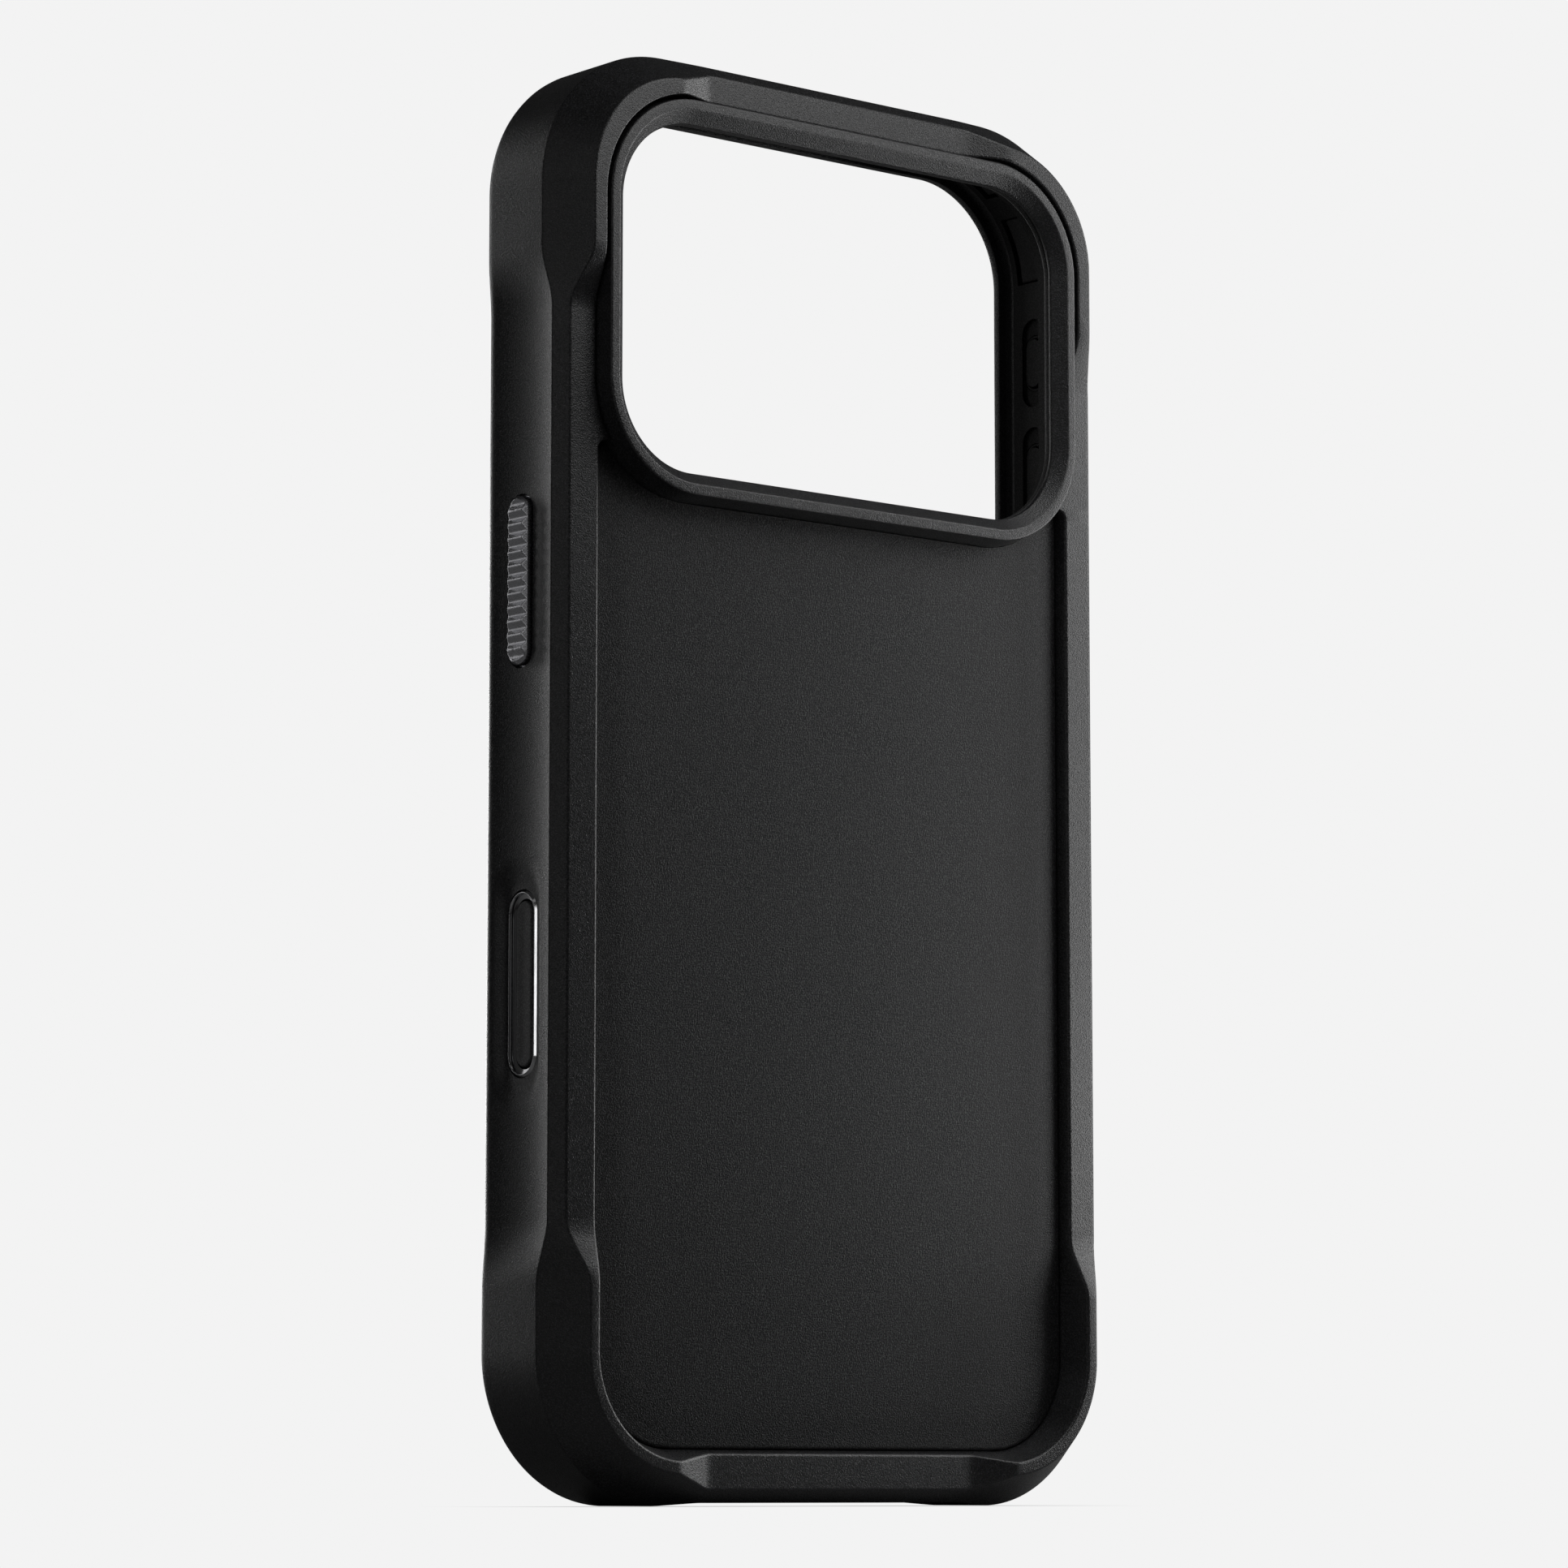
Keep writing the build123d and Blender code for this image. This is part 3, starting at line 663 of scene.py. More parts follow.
def bottom_cutters():
    """The charging port's flared mouth and the sound holes beside it."""
    found = [upright_slot("port_cutter", 0.0, PORT_LEVELS)]
    for index in range(SOUND_HOLES):
        for side in (-1, 1):
            x = side * (SOUND_START + SOUND_PITCH * index)
            found.append(upright_slot(f"sound_cutter_{index}_{side}", x, SOUND_LEVELS))
    return found


def upright_slot(name, centre_x, levels):
    """A closed solid that rises in z, its section a slot along x; levels are (z, length, width)."""
    rings = []
    for z, length, width in levels:
        section = slot_ring(length, width, BOTTOM_ARC_STEPS)
        rings.append([((centre_x + x) * MM, (BUTTON_Y + y) * MM, z * MM) for y, x in section])
    return ringed_solid(name, rings)


def make_bumper():
    """The bumper as a loft round the case's outline, sampled closer at the ramps and the panel's top."""
    notch_z = PANEL_HIGH.z + PANEL_GROOVE - NOTCH_BELOW
    low_ramp_z = PAD_LENGTH + SIDE_RAMP / 2
    closer = [
        (notch_z, NOTCH_REACH, NOTCH_STEP),
        (low_ramp_z, RAMP_REACH, RAMP_STEP),
        (HEIGHT - low_ramp_z, RAMP_REACH, RAMP_STEP),
    ]
    stations = outline_stations(
        HALF_WIDTH, 0.0, HEIGHT, CORNER_RADIUS, BUMPER_STEP, ARC_DEGREES, closer
    )
    bumper = lofted("bumper_skin", stations, [bumper_section(station) for station in stations])
    combined(bumper, control_cutters())
    return stands_for(bumper, "bumper_frame", BUMPER_SHARP)


# Camera collar and back panel


def make_collar():
    """The collar as a loft round its outline: flared wall, flat face, bevel, undercut."""
    stations = outline_stations(
        COLLAR_HALF, COLLAR_LOW_Z, COLLAR_HIGH_Z, COLLAR_RADIUS, COLLAR_STEP, ARC_DEGREES
    )
    section = [
        (-COLLAR_FLARE, SHELL_BACK_Y),
        (-COLLAR_FLARE, COLLAR_FOOT_Y),
        (-COLLAR_KNEE, mix(COLLAR_FOOT_Y, BACK_Y, COLLAR_KNEE_SHARE)),
        (0.0, BACK_Y),
        (COLLAR_FACE, BACK_Y),
        (BEVEL_INSET, BACK_Y + BEVEL_DEPTH),
        (BEVEL_INSET, UNDERCUT_Y),
        (UNDERCUT_INSET, UNDERCUT_Y),
        (UNDERCUT_INSET, SHELL_BACK_Y),
    ]
    rounded = softened(section, COLLAR_ROUNDS)
    collar = lofted("camera_collar_ring", stations, [rounded] * len(stations))
    return stands_for(collar, "camera_collar")


def make_seal():
    """The soft liner under the collar's bevel, with rounder inner corners than the bevel's."""
    low, high = node_box("camera_window_seal")
    radius = COLLAR_RADIUS - (COLLAR_HALF - high.x)
    stations = outline_stations(high.x, low.z, high.z, radius, COLLAR_STEP, ARC_DEGREES)
    half_hole, low_hole, high_hole = high.x - SEAL_LEDGE, low.z + SEAL_LEDGE, high.z - SEAL_LEDGE

    def hole_distance(x, z):
        return rounded_box_distance(x, z, half_hole, low_hole, high_hole, SEAL_RADIUS, SEAL_RADIUS)

    sections = []
    for station in stations:
        ledge = reach_inward(station, hole_distance)
        corners = [(0.0, high.y), (0.0, low.y), (ledge, low.y), (ledge, high.y)]
        sections.append(softened(corners, {2: SEAL_ROUND, 3: SEAL_ROUND}))
    return stands_for(lofted("window_seal_ring", stations, sections), "camera_window_seal")


def corner_fall(past, radius):
    """How far a round corner has turned away, past the place where it starts."""
    if past <= 0:
        return 0.0
    return radius - math.sqrt(max(radius ** 2 - past ** 2, 0.0))


def panel_low_z(x):
    """The panel's bottom edge at x, round its lower corners."""
    return PANEL_LOW.z + corner_fall(abs(x) - (PANEL_HALF - PANEL_RADIUS), PANEL_RADIUS)


def panel_high_z(x):
    """The panel's top edge at x: its own small corners, or the collar's foot where that is lower."""
    top = PANEL_HIGH.z - corner_fall(abs(x) - (PANEL_HALF - PANEL_TOP_RADIUS), PANEL_TOP_RADIUS)
    foot = COLLAR_FLARE + PANEL_GROOVE
    rise = corner_fall(abs(x) - (COLLAR_HALF - COLLAR_RADIUS), COLLAR_RADIUS + foot)
    return min(top, COLLAR_LOW_Z - foot + rise)


def panel_height(x, z):
    """Depth of the panel's outer face: crowned across, with softly falling, rounded edges."""
    inside = -rounded_box_distance(
        x, z, PANEL_HALF, PANEL_LOW.z, PANEL_HIGH.z, PANEL_RADIUS, PANEL_TOP_RADIUS
    )
    crown = PANEL_CROWN * (1 - (x / PANEL_HALF) ** 2)
    fall = PANEL_FALL * (1 - smoothstep(inside / PANEL_FALL_REACH))
    return PANEL_EDGE_Y - crown + fall + corner_fall(PANEL_ROUND - inside, PANEL_ROUND)


def make_panel():
    """The back plate as one grid of columns, from its bottom edge up to the collar's foot."""
    half_columns = [PANEL_HALF - step for step in EDGE_STEPS]
    half_columns += [COLUMN_STEP * i for i in range(MIDDLE_COLUMNS, 0, -1)]
    columns = [-x for x in half_columns] + [0.0] + list(reversed(half_columns))
    front, back = [], []
    for x in columns:
        low_z, high_z = panel_low_z(x), panel_high_z(x)
        rows = [low_z + step for step in EDGE_STEPS]
        rows += [mix(rows[-1], high_z - PANEL_TOP_BAND, i / PANEL_ROWS) for i in range(1, PANEL_ROWS + 1)]
        rows += [high_z - PANEL_TOP_EDGE, high_z]
        front.append([(x * MM, panel_height(x, z) * MM, z * MM) for z in rows])
        back.append([(x * MM, PANEL_HIGH.y * MM, z * MM) for z in rows])
    wide, tall = len(columns), len(front[0])
    vertices = [point for sheet in (front, back) for column in sheet for point in column]
    offset = wide * tall
    faces = []
    for i in range(wide - 1):
        for j in range(tall - 1):
            a, b = i * tall + j, (i + 1) * tall + j
            faces.append((a, b, b + 1, a + 1))
            faces.append((offset + a, offset + a + 1, offset + b + 1, offset + b))
    border = [i * tall for i in range(wide)]
    border += [(wide - 1) * tall + j for j in range(1, tall)]
    border += [i * tall + tall - 1 for i in range(wide - 2, -1, -1)]
    border += [j for j in range(tall - 2, 0, -1)]
    for here, there in zip(border, border[1:] + border[:1]):
        faces.append((here, offset + here, offset + there, there))
    panel = mesh_object("back_panel_plate", vertices, faces)
    return stands_for(panel, "back_panel")


# Buttons and the capture control


def rib_depth(z):
    """Depth of the grip ribs below the cap's face: a triangular wave with softened crests."""
    turn = math.asin(RIB_SHARPNESS * math.cos(math.tau * z / RIB_PITCH)) / math.asin(RIB_SHARPNESS)
    return RIB_DEPTH * (1 - turn) / 2


def make_cap(name, side):
    """A ribbed cap: rings from the flange up the wall, over the bevel and across the ribbed face."""
    low, high = node_box(f"{name}_cap")
    flange_length = high.z - low.z
    length = flange_length - 2 * CAP_FLANGE
    centre_z = (low.z + high.z) / 2
    base_x, face_x = sorted((abs(low.x), abs(high.x)))
    ledge_x = base_x + CAP_FLANGE
    shoulder_x = face_x - CAP_BEVEL * CAP_BEVEL_SLOPE - CAP_SHOULDER

    def surface(inset):
        bevel_x = face_x - max(CAP_BEVEL - inset, 0.0) * CAP_BEVEL_SLOPE
        return lambda y, z: min(face_x - rib_depth(z), bevel_x)

    levels = [
        (base_x, flange_length, CAP_WIDTH + 2 * CAP_FLANGE),
        (ledge_x, flange_length, CAP_WIDTH + 2 * CAP_FLANGE),
        (ledge_x, length, CAP_WIDTH),
        (shoulder_x, length, CAP_WIDTH),
    ]
    levels += [(surface(inset), length - 2 * inset, CAP_WIDTH - 2 * inset) for inset in CAP_INSETS]
    runs = round((length - CAP_WIDTH) / RIB_SAMPLE)
    cap = wall_slot(f"{name}_cap_ribbed", side, centre_z, levels, CAP_ARC_STEPS, runs)
    return stands_for(cap, f"{name}_cap", CONTROL_SHARP)


def make_capture_ring():
    """The ring round the capture pad, with a bevelled outer edge and a steep wall round the pad."""
    base_x = -CAPTURE_HIGH.x
    profile = [(base_x, 0.0)]
    profile += [(RING_FACE_X - depth, inset) for depth, inset in RING_SECTION]
    profile.append((base_x, RING_BAND))
    ring = slot_band("capture_ring_polished", -1, CAPTURE_Z, RING_LENGTH, RING_WIDTH, profile)
    return stands_for(ring, "capture_ring", CONTROL_SHARP)


def make_gasket(node):
    """A soft ring round a stem, with rounded lips."""
    low, high = node_box(node)
    side = 1 if low.x > 0 else -1
    near, far = sorted((abs(low.x), abs(high.x)))
    profile = [
        (near, GASKET_LIP),
        (near + GASKET_LIP, 0.0),
        (far - GASKET_LIP, 0.0),
        (far, GASKET_LIP),
        (far, GASKET_WALL - GASKET_LIP),
        (far - GASKET_LIP, GASKET_WALL),
        (near + GASKET_LIP, GASKET_WALL),
        (near, GASKET_WALL - GASKET_LIP),
    ]
    size = high - low
    gasket = slot_band(f"{node}_ring", side, (low.z + high.z) / 2, size.z, size.y, profile)
    return stands_for(gasket, node, CONTROL_SHARP)


def make_capture_pad():
    """The capture pad: a low slot with round edges and a slightly dished face."""
    low, high = node_box("capture_pad")
    face_x, base_x = -low.x, -high.x
    length, width = high.z - low.z, high.y - low.y
    centre_z = (low.z + high.z) / 2
    levels = [(base_x, length, width), (face_x - CAPTURE_PAD_ROUND, length, width)]
    for step in range(1, CAPTURE_PAD_STEPS + 1):
        angle = math.radians(90 * step / CAPTURE_PAD_STEPS)
        inset = CAPTURE_PAD_ROUND * (1 - math.cos(angle))
        x = face_x - CAPTURE_PAD_ROUND * (1 - math.sin(angle))
        levels.append((x, length - 2 * inset, width - 2 * inset))
    for inset in (*CAPTURE_PAD_INSETS, width / 2):
        share = (inset - CAPTURE_PAD_ROUND) / (width / 2 - CAPTURE_PAD_ROUND)
        x = face_x - CAPTURE_PAD_DISH * smoothstep(share)
        levels.append((x, length - 2 * inset, width - 2 * inset))
    pad = wall_slot("capture_pad_dished", -1, centre_z, levels, CAP_ARC_STEPS, RING_RUN_STEPS)
    return stands_for(pad, "capture_pad", CONTROL_SHARP)


# Soft pieces inside the case


def make_lining():
    """The lining as a thin sheet laid on the shell's floor, with the camera opening cut out."""
    low, high = node_box("microfibre_lining")
    sheet_radius = CORNER_RADIUS - (HALF_WIDTH - high.x)
    outline = outline_stations(high.x, low.z, high.z, sheet_radius, LINING_STEP, LINING_ARC_DEGREES)
    lining = prism("microfibre_sheet", outline, low.y, high.y)
    hole_half = COLLAR_HALF - LINING_HOLE_INSET
    hole_low, hole_high = COLLAR_LOW_Z + LINING_HOLE_INSET, COLLAR_HIGH_Z - LINING_HOLE_INSET
    hole_radius = COLLAR_RADIUS - LINING_HOLE_INSET
    opening = outline_stations(
        hole_half, hole_low, hole_high, hole_radius, LINING_STEP, LINING_ARC_DEGREES
    )
    combined(lining, [prism("lining_cutter", opening, low.y - 1, high.y + 1)])
    stands_for(lining, "microfibre_lining")
    width, length = high.x - low.x, high.z - low.z
    corner_loss = 4 - math.pi
    area = width * length - corner_loss * sheet_radius ** 2
    area -= 2 * hole_half * (hole_high - hole_low) - corner_loss * hole_radius ** 2
    return lining


def sector(name, centre, quadrant, radii, depths, arc, softness):
    """A rounded block that follows an arc about a case corner; arc is in degrees within the quadrant."""
    inner, outer = radii
    low_y, high_y = depths
    start, end = arc
    count = round((end - start) / SECTOR_DEGREES)
    ends = [(degrees, softness * share) for degrees, share in SECTOR_END_CURVE]
    steps = [(start + degrees, shrink) for degrees, shrink in ends]
    steps += [(mix(start + SECTOR_END, end - SECTOR_END, i / count), 0.0) for i in range(count + 1)]
    steps += [(end - degrees, shrink) for degrees, shrink in reversed(ends)]
    rings = []
    for degrees, shrink in steps:
        angle = math.radians(degrees)
        outward = (quadrant[0] * math.cos(angle), quadrant[1] * math.sin(angle))
        corners = [
            (inner + shrink, low_y + shrink),
            (outer - shrink, low_y + shrink),
            (outer - shrink, high_y - shrink),
            (inner + shrink, high_y - shrink),
        ]
        section = softened(corners, {i: (softness, 4) for i in range(4)})
        ring = []
        for radius, y in section:
            x, z = centre[0] + outward[0] * radius, centre[1] + outward[1] * radius
            ring.append((x * MM, y * MM, z * MM))
        rings.append(ring)
    return ringed_solid(name, rings)


def make_cushion(node):
    """A corner cushion: a block behind the shell with two ridges that reach into the shell's windows."""
    low, high = node_box(node)
    middle = (low + high) / 2
    quadrant = (1 if middle.x > 0 else -1, 1 if middle.z > MID_Z else -1)
    centre = (
        quadrant[0] * (HALF_WIDTH - CORNER_RADIUS),
        MID_Z + quadrant[1] * (MID_Z - CORNER_RADIUS),
    )
    shell_outer = CORNER_RADIUS - SHELL_INSET
    cushion = sector(
        f"{node}_block",
        centre,
        quadrant,
        (shell_outer, CORNER_RADIUS - CUSHION_INSET - CUSHION_GAP),
        (CUSHION_LOW_Y + CUSHION_GAP, CUSHION_HIGH_Y - CUSHION_GAP),
        (0.0, 90.0),
        CUSHION_SOFTNESS,
    )
    radii = (CORNER_RADIUS - CAVITY_INSET + RIDGE_SUNK, shell_outer + RIDGE_OVERLAP)
    ridges = [
        sector(f"{node}_ridge_{arc[0]}", centre, quadrant, radii, RIDGE_DEPTHS, arc, RIDGE_SOFTNESS)
        for arc in RIDGE_ARCS
    ]
    combined(cushion, ridges, "UNION")
    stands_for(cushion, node, CONTROL_SHARP)
    return cushion


# Materials

# Sizes of the noise features, depths of their bumps, and the noise values that a range starts and ends at
PATCH_MM = 9.0
PATCH_SHARE = 0.5
NOISE_RANGE = (0.3, 0.7)
# Pale speckles painted into the base colour stand for glints of the grain: a painted sparkle
GLINT_SPECKLE_MM = 0.15
GLINT_SPECKLE_GAIN = 6.0
GLINT_SPECKLE_SHARE = 0.5
GLINT_SPECKLE_RANGE = (0.45, 0.75)
EDGE_RANGE = (0.53, 0.62)
FINE_GRAIN = 0.55
STREAK_MM = 0.35
BLAST_MM = 0.12
NAP_MM = 0.25
NAP_DEPTH = 0.05
THREAD_MM = 0.18
THREAD_DEPTH = 0.03
THREAD_STRETCH = (1.0, 1.0, 0.3)
CLOTH_ROUGHNESS = 0.95
CLOTH_SHEEN = 0.25
CLOTH_SHEEN_ROUGHNESS = 0.5
# The noise is turned off the axes, because its own grid shows as bands on flat faces
NOISE_TURN = (0.55, 0.8, 0.35)

NEAR_BLACK = (0.009, 0.0092, 0.0096)
WORN_BLACK = (0.014, 0.014, 0.015)


def grey(level):
    """A neutral colour."""
    return (level, level, level)


def material(name, colour, roughness, metallic=0.0, specular=0.5):
    """A new material with its plain values set, and the parts that the finishes build on."""
    made = bpy.data.materials.new(name)
    made.use_nodes = True
    shader = made.node_tree.nodes["Principled BSDF"]
    shader.inputs["Base Color"].default_value = (*colour, 1.0)
    shader.inputs["Roughness"].default_value = roughness
    shader.inputs["Metallic"].default_value = metallic
    shader.inputs["Specular IOR Level"].default_value = specular
    return made, made.node_tree.nodes, made.node_tree.links, shader


def noise(nodes, links, feature_mm, detail, stretch=None):
    """A noise texture in the case's own frame, with features about feature_mm across."""
    place = nodes.new("ShaderNodeTexCoord")
    texture = nodes.new("ShaderNodeTexNoise")
    texture.inputs["Scale"].default_value = 1 / (feature_mm * MM)
    texture.inputs["Detail"].default_value = detail
    mapping = nodes.new("ShaderNodeMapping")
    if stretch:
        mapping.inputs["Scale"].default_value = stretch
    else:
        mapping.inputs["Rotation"].default_value = NOISE_TURN
    links.new(place.outputs["Object"], mapping.inputs["Vector"])
    links.new(mapping.outputs["Vector"], texture.inputs["Vector"])
    return texture


def ranged(nodes, links, source, low, high, source_range=NOISE_RANGE):
    """Maps a value's range to low and high."""
    stretch = nodes.new("ShaderNodeMapRange")
    stretch.inputs["From Min"].default_value = source_range[0]
    stretch.inputs["From Max"].default_value = source_range[1]
    stretch.inputs["To Min"].default_value = low
    stretch.inputs["To Max"].default_value = high
    links.new(source, stretch.inputs["Value"])
    return stretch.outputs["Result"]


def bumped(nodes, links, shader, layers):
    """Stacks bump layers of (texture output, depth in mm) onto the shader's normal."""
    normal = None
    for height, depth_mm in layers:
        bump = nodes.new("ShaderNodeBump")
        bump.inputs["Distance"].default_value = depth_mm * MM
        bump.inputs["Strength"].default_value = 1.0
        links.new(height, bump.inputs["Height"])
        if normal is not None:
            links.new(normal, bump.inputs["Normal"])
        normal = bump.outputs["Normal"]
    links.new(normal, shader.inputs["Normal"])


def colour_mix(nodes, links, amount, first, second):
    """Blends two colours, each a plain value or a socket, by a socket that runs from 0 to 1."""
    blend = nodes.new("ShaderNodeMix")
    blend.data_type = "RGBA"
    for name, value in (("A", first), ("B", second)):
        if isinstance(value, tuple):
            blend.inputs[name].default_value = (*value, 1.0)
        else:
            links.new(value, blend.inputs[name])
    links.new(amount, blend.inputs["Factor"])
    return blend.outputs["Result"]


def worn_and_glint_colour(nodes, links, shader, colour, light, wear, glint_speckle=0.0):
    """Slow colour variation, pale speckles painted in as glints of the grain, and paler worn edges where
    wear is above 0.
    """
    patch = noise(nodes, links, PATCH_MM, detail=4.0)
    amount = ranged(nodes, links, patch.outputs["Fac"], 0.0, PATCH_SHARE)
    if wear > 0:
        geometry = nodes.new("ShaderNodeNewGeometry")
        edge = ranged(nodes, links, geometry.outputs["Pointiness"], 0.0, wear, EDGE_RANGE)
        total = nodes.new("ShaderNodeMath")
        total.operation = "ADD"
        total.use_clamp = True
        links.new(amount, total.inputs[0])
        links.new(edge, total.inputs[1])
        amount = total.outputs["Value"]
    shade = colour_mix(nodes, links, amount, colour, light)
    # Painted glints: pale speckles mixed into the base colour where the fine noise is high
    if glint_speckle > 0:
        spots = noise(nodes, links, GLINT_SPECKLE_MM, detail=0.0)
        glint_colour = tuple(channel * GLINT_SPECKLE_GAIN for channel in light)
        amount = ranged(nodes, links, spots.outputs["Fac"], 0.0, glint_speckle, GLINT_SPECKLE_RANGE)
        shade = colour_mix(nodes, links, amount, shade, glint_colour)
    links.new(shade, shader.inputs["Base Color"])


def grained(name, colour, light, roughness, grain_mm, depth_mm, wear=0.3, specular=0.5):
    """A matte moulded or coated surface with a fine pebble grain, pale speckles painted in as glints, and
    slightly worn edges.
    """
    made, nodes, links, shader = material(name, colour, roughness[0], specular=specular)
    worn_and_glint_colour(nodes, links, shader, colour, light, wear, GLINT_SPECKLE_SHARE)
    grain = noise(nodes, links, grain_mm, detail=1.0)
    fine = noise(nodes, links, grain_mm * FINE_GRAIN, detail=0.0)
    rough = ranged(nodes, links, fine.outputs["Fac"], *roughness)
    links.new(rough, shader.inputs["Roughness"])
    bumped(nodes, links, shader, [(grain.outputs["Fac"], depth_mm), (fine.outputs["Fac"], depth_mm / 2)])
    return made


def woven(name, colour, light):
    """A short-napped microfibre: crossed fine threads under a soft sheen."""
    made, nodes, links, shader = material(name, colour, CLOTH_ROUGHNESS)
    shader.inputs["Sheen Weight"].default_value = CLOTH_SHEEN
    shader.inputs["Sheen Roughness"].default_value = CLOTH_SHEEN_ROUGHNESS
    worn_and_glint_colour(nodes, links, shader, colour, light, wear=0.0)
    nap = noise(nodes, links, NAP_MM, detail=3.0)
    threads = noise(nodes, links, THREAD_MM, detail=1.0, stretch=THREAD_STRETCH)
    layers = [(nap.outputs["Fac"], NAP_DEPTH), (threads.outputs["Fac"], THREAD_DEPTH)]
    bumped(nodes, links, shader, layers)
    return made


def brushed(name, colour, light, roughness, stretch=(1.0, 1.0, 1.0), depth_mm=0.01, wear=0.4):
    """A metal with fine streaks along one direction and a bead-blasted grain under them."""
    made, nodes, links, shader = material(name, colour, roughness[0], metallic=1.0)
    worn_and_glint_colour(nodes, links, shader, colour, light, wear)
    streak = noise(nodes, links, STREAK_MM, detail=2.0, stretch=stretch)
    blast = noise(nodes, links, BLAST_MM, detail=1.0)
    links.new(ranged(nodes, links, streak.outputs["Fac"], *roughness), shader.inputs["Roughness"])
    bumped(nodes, links, shader, [(streak.outputs["Fac"], depth_mm), (blast.outputs["Fac"], depth_mm / 2)])
    return made


def rubbers_and_coatings():
    """The soft bumper, the coated back and collar, and the soft pieces inside."""
    return {
        "bumper_rubber": grained(
            "bumper rubber", NEAR_BLACK, WORN_BLACK,
            roughness=(0.26, 0.38), grain_mm=0.16, depth_mm=0.04, wear=0.25, specular=0.6,
        ),
        "panel_coating": grained(
            "panel coating", (0.007, 0.0071, 0.0075), (0.012, 0.012, 0.0125),
            roughness=(0.34, 0.46), grain_mm=0.15, depth_mm=0.05, wear=0.2, specular=0.26,
        ),
        "collar_coating": grained(
            "collar coating", NEAR_BLACK, WORN_BLACK,
            roughness=(0.28, 0.4), grain_mm=0.15, depth_mm=0.045, wear=0.4, specular=0.7,
        ),
        "seal_rubber": grained(
            "seal rubber", grey(0.009), grey(0.014), roughness=(0.6, 0.75), grain_mm=0.2, depth_mm=0.01
        ),
        "cushion_rubber": grained(
            "cushion rubber", grey(0.012), NEAR_BLACK, roughness=(0.6, 0.75), grain_mm=0.25, depth_mm=0.015
        ),
        "lining_fabric": woven("lining microfibre", (0.05, 0.05, 0.053), (0.075, 0.075, 0.079)),
    }


def plastics():
    """The shell, the stems, the magnet carrier, the capture pad and the panel's adhesive film."""
    return {
        "shell_plastic": grained(
            "shell plastic", (0.004, 0.004, 0.0042), grey(0.007),
            roughness=(0.5, 0.62), grain_mm=0.2, depth_mm=0.01, wear=0.1, specular=0.2,
        ),
        # Black plastic made darker still: partly its own colour, partly painted shade of the deep pockets
        # the stems sit in
        "stem_plastic": grained(
            "stem plastic", grey(0.005), grey(0.008),
            roughness=(0.5, 0.6), grain_mm=0.3, depth_mm=0.01, specular=0.2,
        ),
        "carrier_plastic": grained(
            "carrier plastic", NEAR_BLACK, (0.02, 0.02, 0.021),
            roughness=(0.5, 0.6), grain_mm=0.3, depth_mm=0.01,
        ),
        "capture_pad_plastic": grained(
            "capture pad plastic", (0.026, 0.026, 0.027), (0.03, 0.03, 0.031),
            roughness=(0.42, 0.5), grain_mm=0.1, depth_mm=0.004, specular=0.6,
        ),
        "adhesive_film": grained(
            "adhesive film", grey(0.05), grey(0.08), roughness=(0.35, 0.5), grain_mm=0.6, depth_mm=0.01
        ),
    }


def metals():
    """The anodised buttons, the polished capture ring, the magnets and their shield."""
    return {
        "button_metal": brushed(
            "button anodised", (0.54, 0.54, 0.565), (0.66, 0.66, 0.685),
            roughness=(0.22, 0.34), stretch=(1.0, 0.25, 3.0), depth_mm=0.003,
        ),
        "capture_ring_metal": brushed(
            "ring polished", (0.55, 0.55, 0.56), (0.62, 0.62, 0.63),
            roughness=(0.1, 0.14), stretch=(1.0, 1.0, 0.2), depth_mm=0.0002, wear=0.0,
        ),
        "magnet_nickel": brushed(
            "magnet nickel", (0.6, 0.59, 0.56), (0.7, 0.69, 0.66), roughness=(0.2, 0.3)
        ),
        "shield_steel": brushed(
            "shield steel", grey(0.45), grey(0.55), roughness=(0.3, 0.45), stretch=(0.2, 1.0, 1.0)
        ),
    }


def dress(pieces, materials):
    """Gives every new piece its slot's material, and every shown CAD node the one its record names."""
    for piece in pieces:
        piece.data.materials.clear()
        piece.data.materials.append(materials[piece["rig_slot"]])
    for node, piece in frame["nodes"].items():
        if piece.hide_render:
            continue
        piece.data.materials.clear()
        piece.data.materials.append(materials[SLOTS[node]])


# Studio


def area_light(name, target, direction, distance, size, power):
    """A soft rectangular light, distance away from target along direction, facing it."""
    data = bpy.data.lights.new(name, "AREA")
    data.shape = "RECTANGLE"
    data.size, data.size_y = size[0] * MM, size[1] * MM
    data.energy = power
    light = bpy.data.objects.new(name, data)
    bpy.context.scene.collection.objects.link(light)
    way = Vector(compass(*direction))
    light.location = (Vector(target) + way * distance) * MM
    light.rotation_mode = "QUATERNION"
    light.rotation_quaternion = way.to_track_quat("Z", "Y")
    light.visible_camera = False


BACKDROP = 0.896
AMBIENT = 0.024
FLOOR_UNSEEN = 0.3
FLOOR_RADIUS = 6000.0
FLOOR_SIDES = 96
FLOOR_GAP = 0.02
SHADOW_REACH = 12.0
SHADOW_DEPTH = 0.5


def shown_apart(tree, output_type, seen, unseen):
    """Shows one shader output to the camera and the other to every other ray."""
    output = tree.nodes.new(output_type)
    path = tree.nodes.new("ShaderNodeLightPath")
    either = tree.nodes.new("ShaderNodeMixShader")
    tree.links.new(path.outputs["Is Camera Ray"], either.inputs["Fac"])
    tree.links.new(unseen, either.inputs[1])
    tree.links.new(seen, either.inputs[2])
    tree.links.new(either.outputs["Shader"], output.inputs["Surface"])


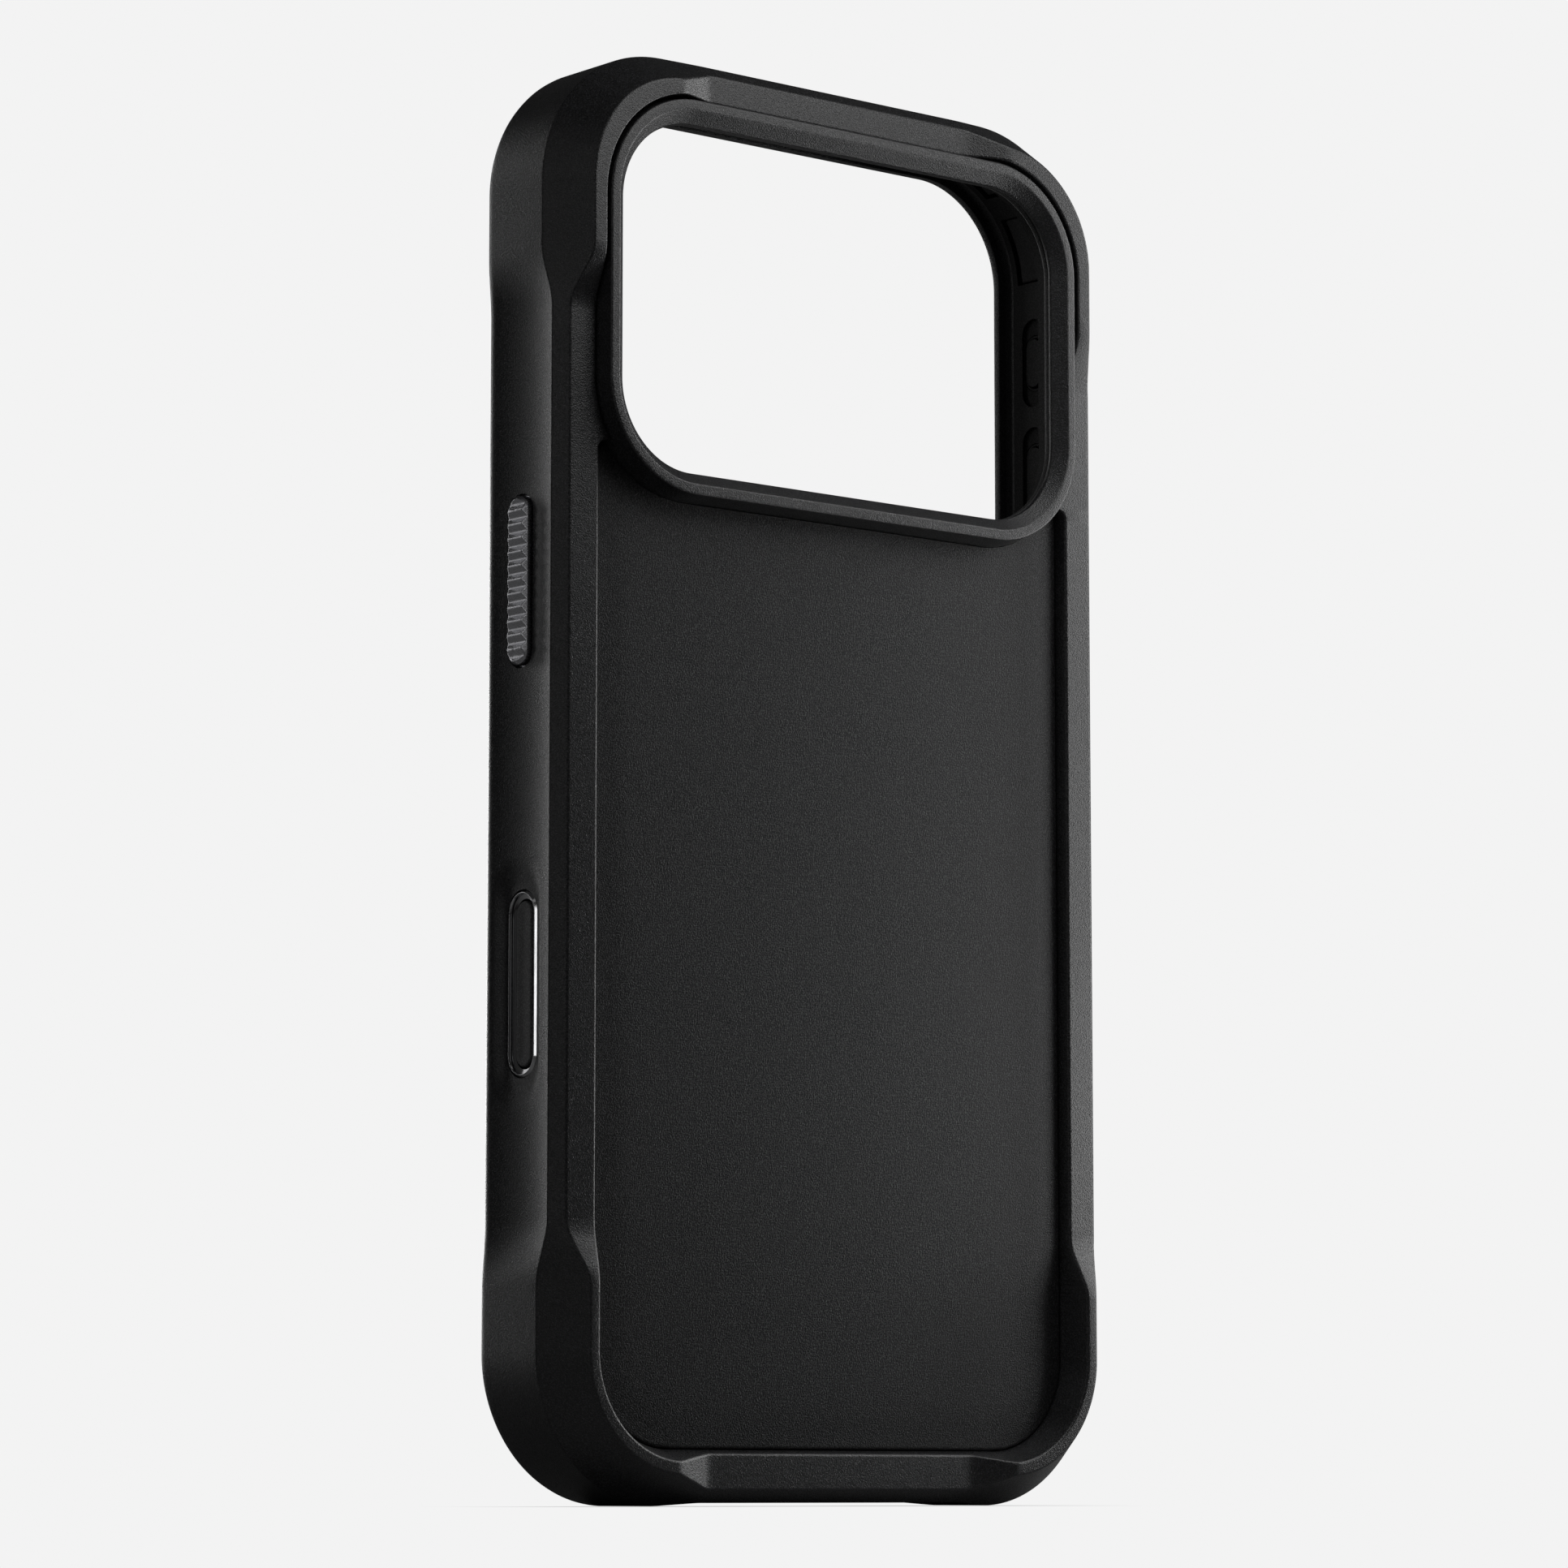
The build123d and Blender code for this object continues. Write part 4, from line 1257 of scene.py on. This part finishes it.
def make_world():
    """A plain pale backdrop that the camera sees, with only a little ambient light on the object."""
    world = bpy.data.worlds.new("studio")
    bpy.context.scene.world = world
    world.use_nodes = True
    nodes = world.node_tree.nodes
    nodes.clear()
    seen = nodes.new("ShaderNodeBackground")
    seen.inputs["Color"].default_value = (*grey(BACKDROP), 1.0)
    unseen = nodes.new("ShaderNodeBackground")
    unseen.inputs["Color"].default_value = (*grey(AMBIENT), 1.0)
    shown_apart(
        world.node_tree, "ShaderNodeOutputWorld", seen.outputs["Background"], unseen.outputs["Background"]
    )


def make_floor():
    """A large disc: the camera sees the backdrop's colour and a soft contact shadow, other rays a grey."""
    bpy.ops.mesh.primitive_circle_add(
        vertices=FLOOR_SIDES, radius=FLOOR_RADIUS * MM, fill_type="NGON", location=(0, 0, -FLOOR_GAP * MM)
    )
    floor = bpy.context.object
    floor.name = "studio_floor"
    made = bpy.data.materials.new("studio floor")
    made.use_nodes = True
    nodes, links = made.node_tree.nodes, made.node_tree.links
    nodes.clear()
    openness = nodes.new("ShaderNodeAmbientOcclusion")
    openness.inputs["Distance"].default_value = SHADOW_REACH * MM
    level = ranged(nodes, links, openness.outputs["AO"], BACKDROP * SHADOW_DEPTH, BACKDROP, (0.0, 1.0))
    glow = nodes.new("ShaderNodeEmission")
    links.new(level, glow.inputs["Strength"])
    dark = nodes.new("ShaderNodeBsdfDiffuse")
    dark.inputs["Color"].default_value = (*grey(FLOOR_UNSEEN), 1.0)
    shown_apart(
        made.node_tree, "ShaderNodeOutputMaterial", glow.outputs["Emission"], dark.outputs["BSDF"]
    )
    floor.data.materials.append(made)


CAMERA_PLACE = (-389.1, -459.5, 2.0)
CAMERA_AIM = (0.643, 0.766, 0.1284)
CAMERA_LENS = 125.8
CAMERA_SENSOR = 36.0
CAMERA_CLIP = (50.0, 50000.0)


def make_camera():
    """The camera stands low, behind the case and to its left, and looks slightly up at it."""
    data = bpy.data.cameras.new("camera")
    data.sensor_width = CAMERA_SENSOR
    data.lens = CAMERA_LENS
    data.clip_start = CAMERA_CLIP[0] * MM
    data.clip_end = CAMERA_CLIP[1] * MM
    camera = bpy.data.objects.new("camera", data)
    bpy.context.scene.collection.objects.link(camera)
    camera.location = Vector(CAMERA_PLACE) * MM
    camera.rotation_mode = "QUATERNION"
    camera.rotation_quaternion = Vector(CAMERA_AIM).to_track_quat("-Z", "Y")
    bpy.context.scene.camera = camera


def compass(azimuth, elevation):
    """A direction from the object; azimuth runs from its back (-Y) towards +X, both in degrees."""
    turn, rise = math.radians(azimuth), math.radians(elevation)
    return (math.sin(turn) * math.cos(rise), -math.cos(turn) * math.cos(rise), math.sin(rise))


# Places that the lights face
MIDDLE = (0.0, 0.0, MID_Z)
RIGHT_EDGE = (HALF_WIDTH, -5.0, 90.0)
RIGHT_FOOT = (HALF_WIDTH, -5.0, 40.0)
TOP_EDGE = (0.0, -5.0, HEIGHT)
TOP_LEFT = (-25.0, -5.0, HEIGHT)

# Name, place faced, azimuth and elevation in degrees, distance, width and height, and watts
LIGHTS = (
    ("key right", RIGHT_EDGE, (52, 8), 110, (40, 170), 0.022),
    ("key right side", RIGHT_EDGE, (60, 8), 90, (40, 170), 0.047),
    ("key right low", RIGHT_FOOT, (60, 0), 90, (40, 60), 0.009),
    ("key side", MIDDLE, (84, 5), 400, (50, 420), 0.36),
    ("key top", TOP_EDGE, (25, 50), 160, (120, 80), 0.044),
    ("key top right", TOP_EDGE, (35, 25), 160, (120, 80), 0.03),
    ("key top left", TOP_LEFT, (30, 20), 130, (80, 80), 0.024),
    ("soft top", MIDDLE, (10, 65), 450, (250, 200), 0.07),
    ("backdrop front", MIDDLE, (-172, 10), 600, (100, 500), 0.38),
    ("backdrop front left", MIDDLE, (-148, 10), 600, (150, 500), 0.16),
    ("front low", MIDDLE, (165, 5), 600, (250, 160), 0.7),
    ("strip left", MIDDLE, (-57, 8), 500, (24, 500), 0.085),
    ("fill left", MIDDLE, (-80, 25), 500, (200, 400), 0.05),
)


def make_lights():
    """Close soft boxes at the right and the top, broad ones before the open front, weak ones at the left."""
    for light in LIGHTS:
        area_light(*light)


bpy.context.scene.view_settings.view_transform = "Standard"
make_camera()
make_world()
make_floor()
make_lights()
new_pieces = [make_bumper(), make_collar(), make_panel(), make_capture_ring(), make_capture_pad()]
new_pieces += [make_cap(name, side) for name, side in BUTTON_SIDES]
new_pieces += [make_seal(), make_lining()]
new_pieces += [make_cushion(node) for node in CUSHION_NODES]
new_pieces += [make_gasket(node) for node in GASKET_NODES]
dress(new_pieces, {**rubbers_and_coatings(), **plastics(), **metals()})
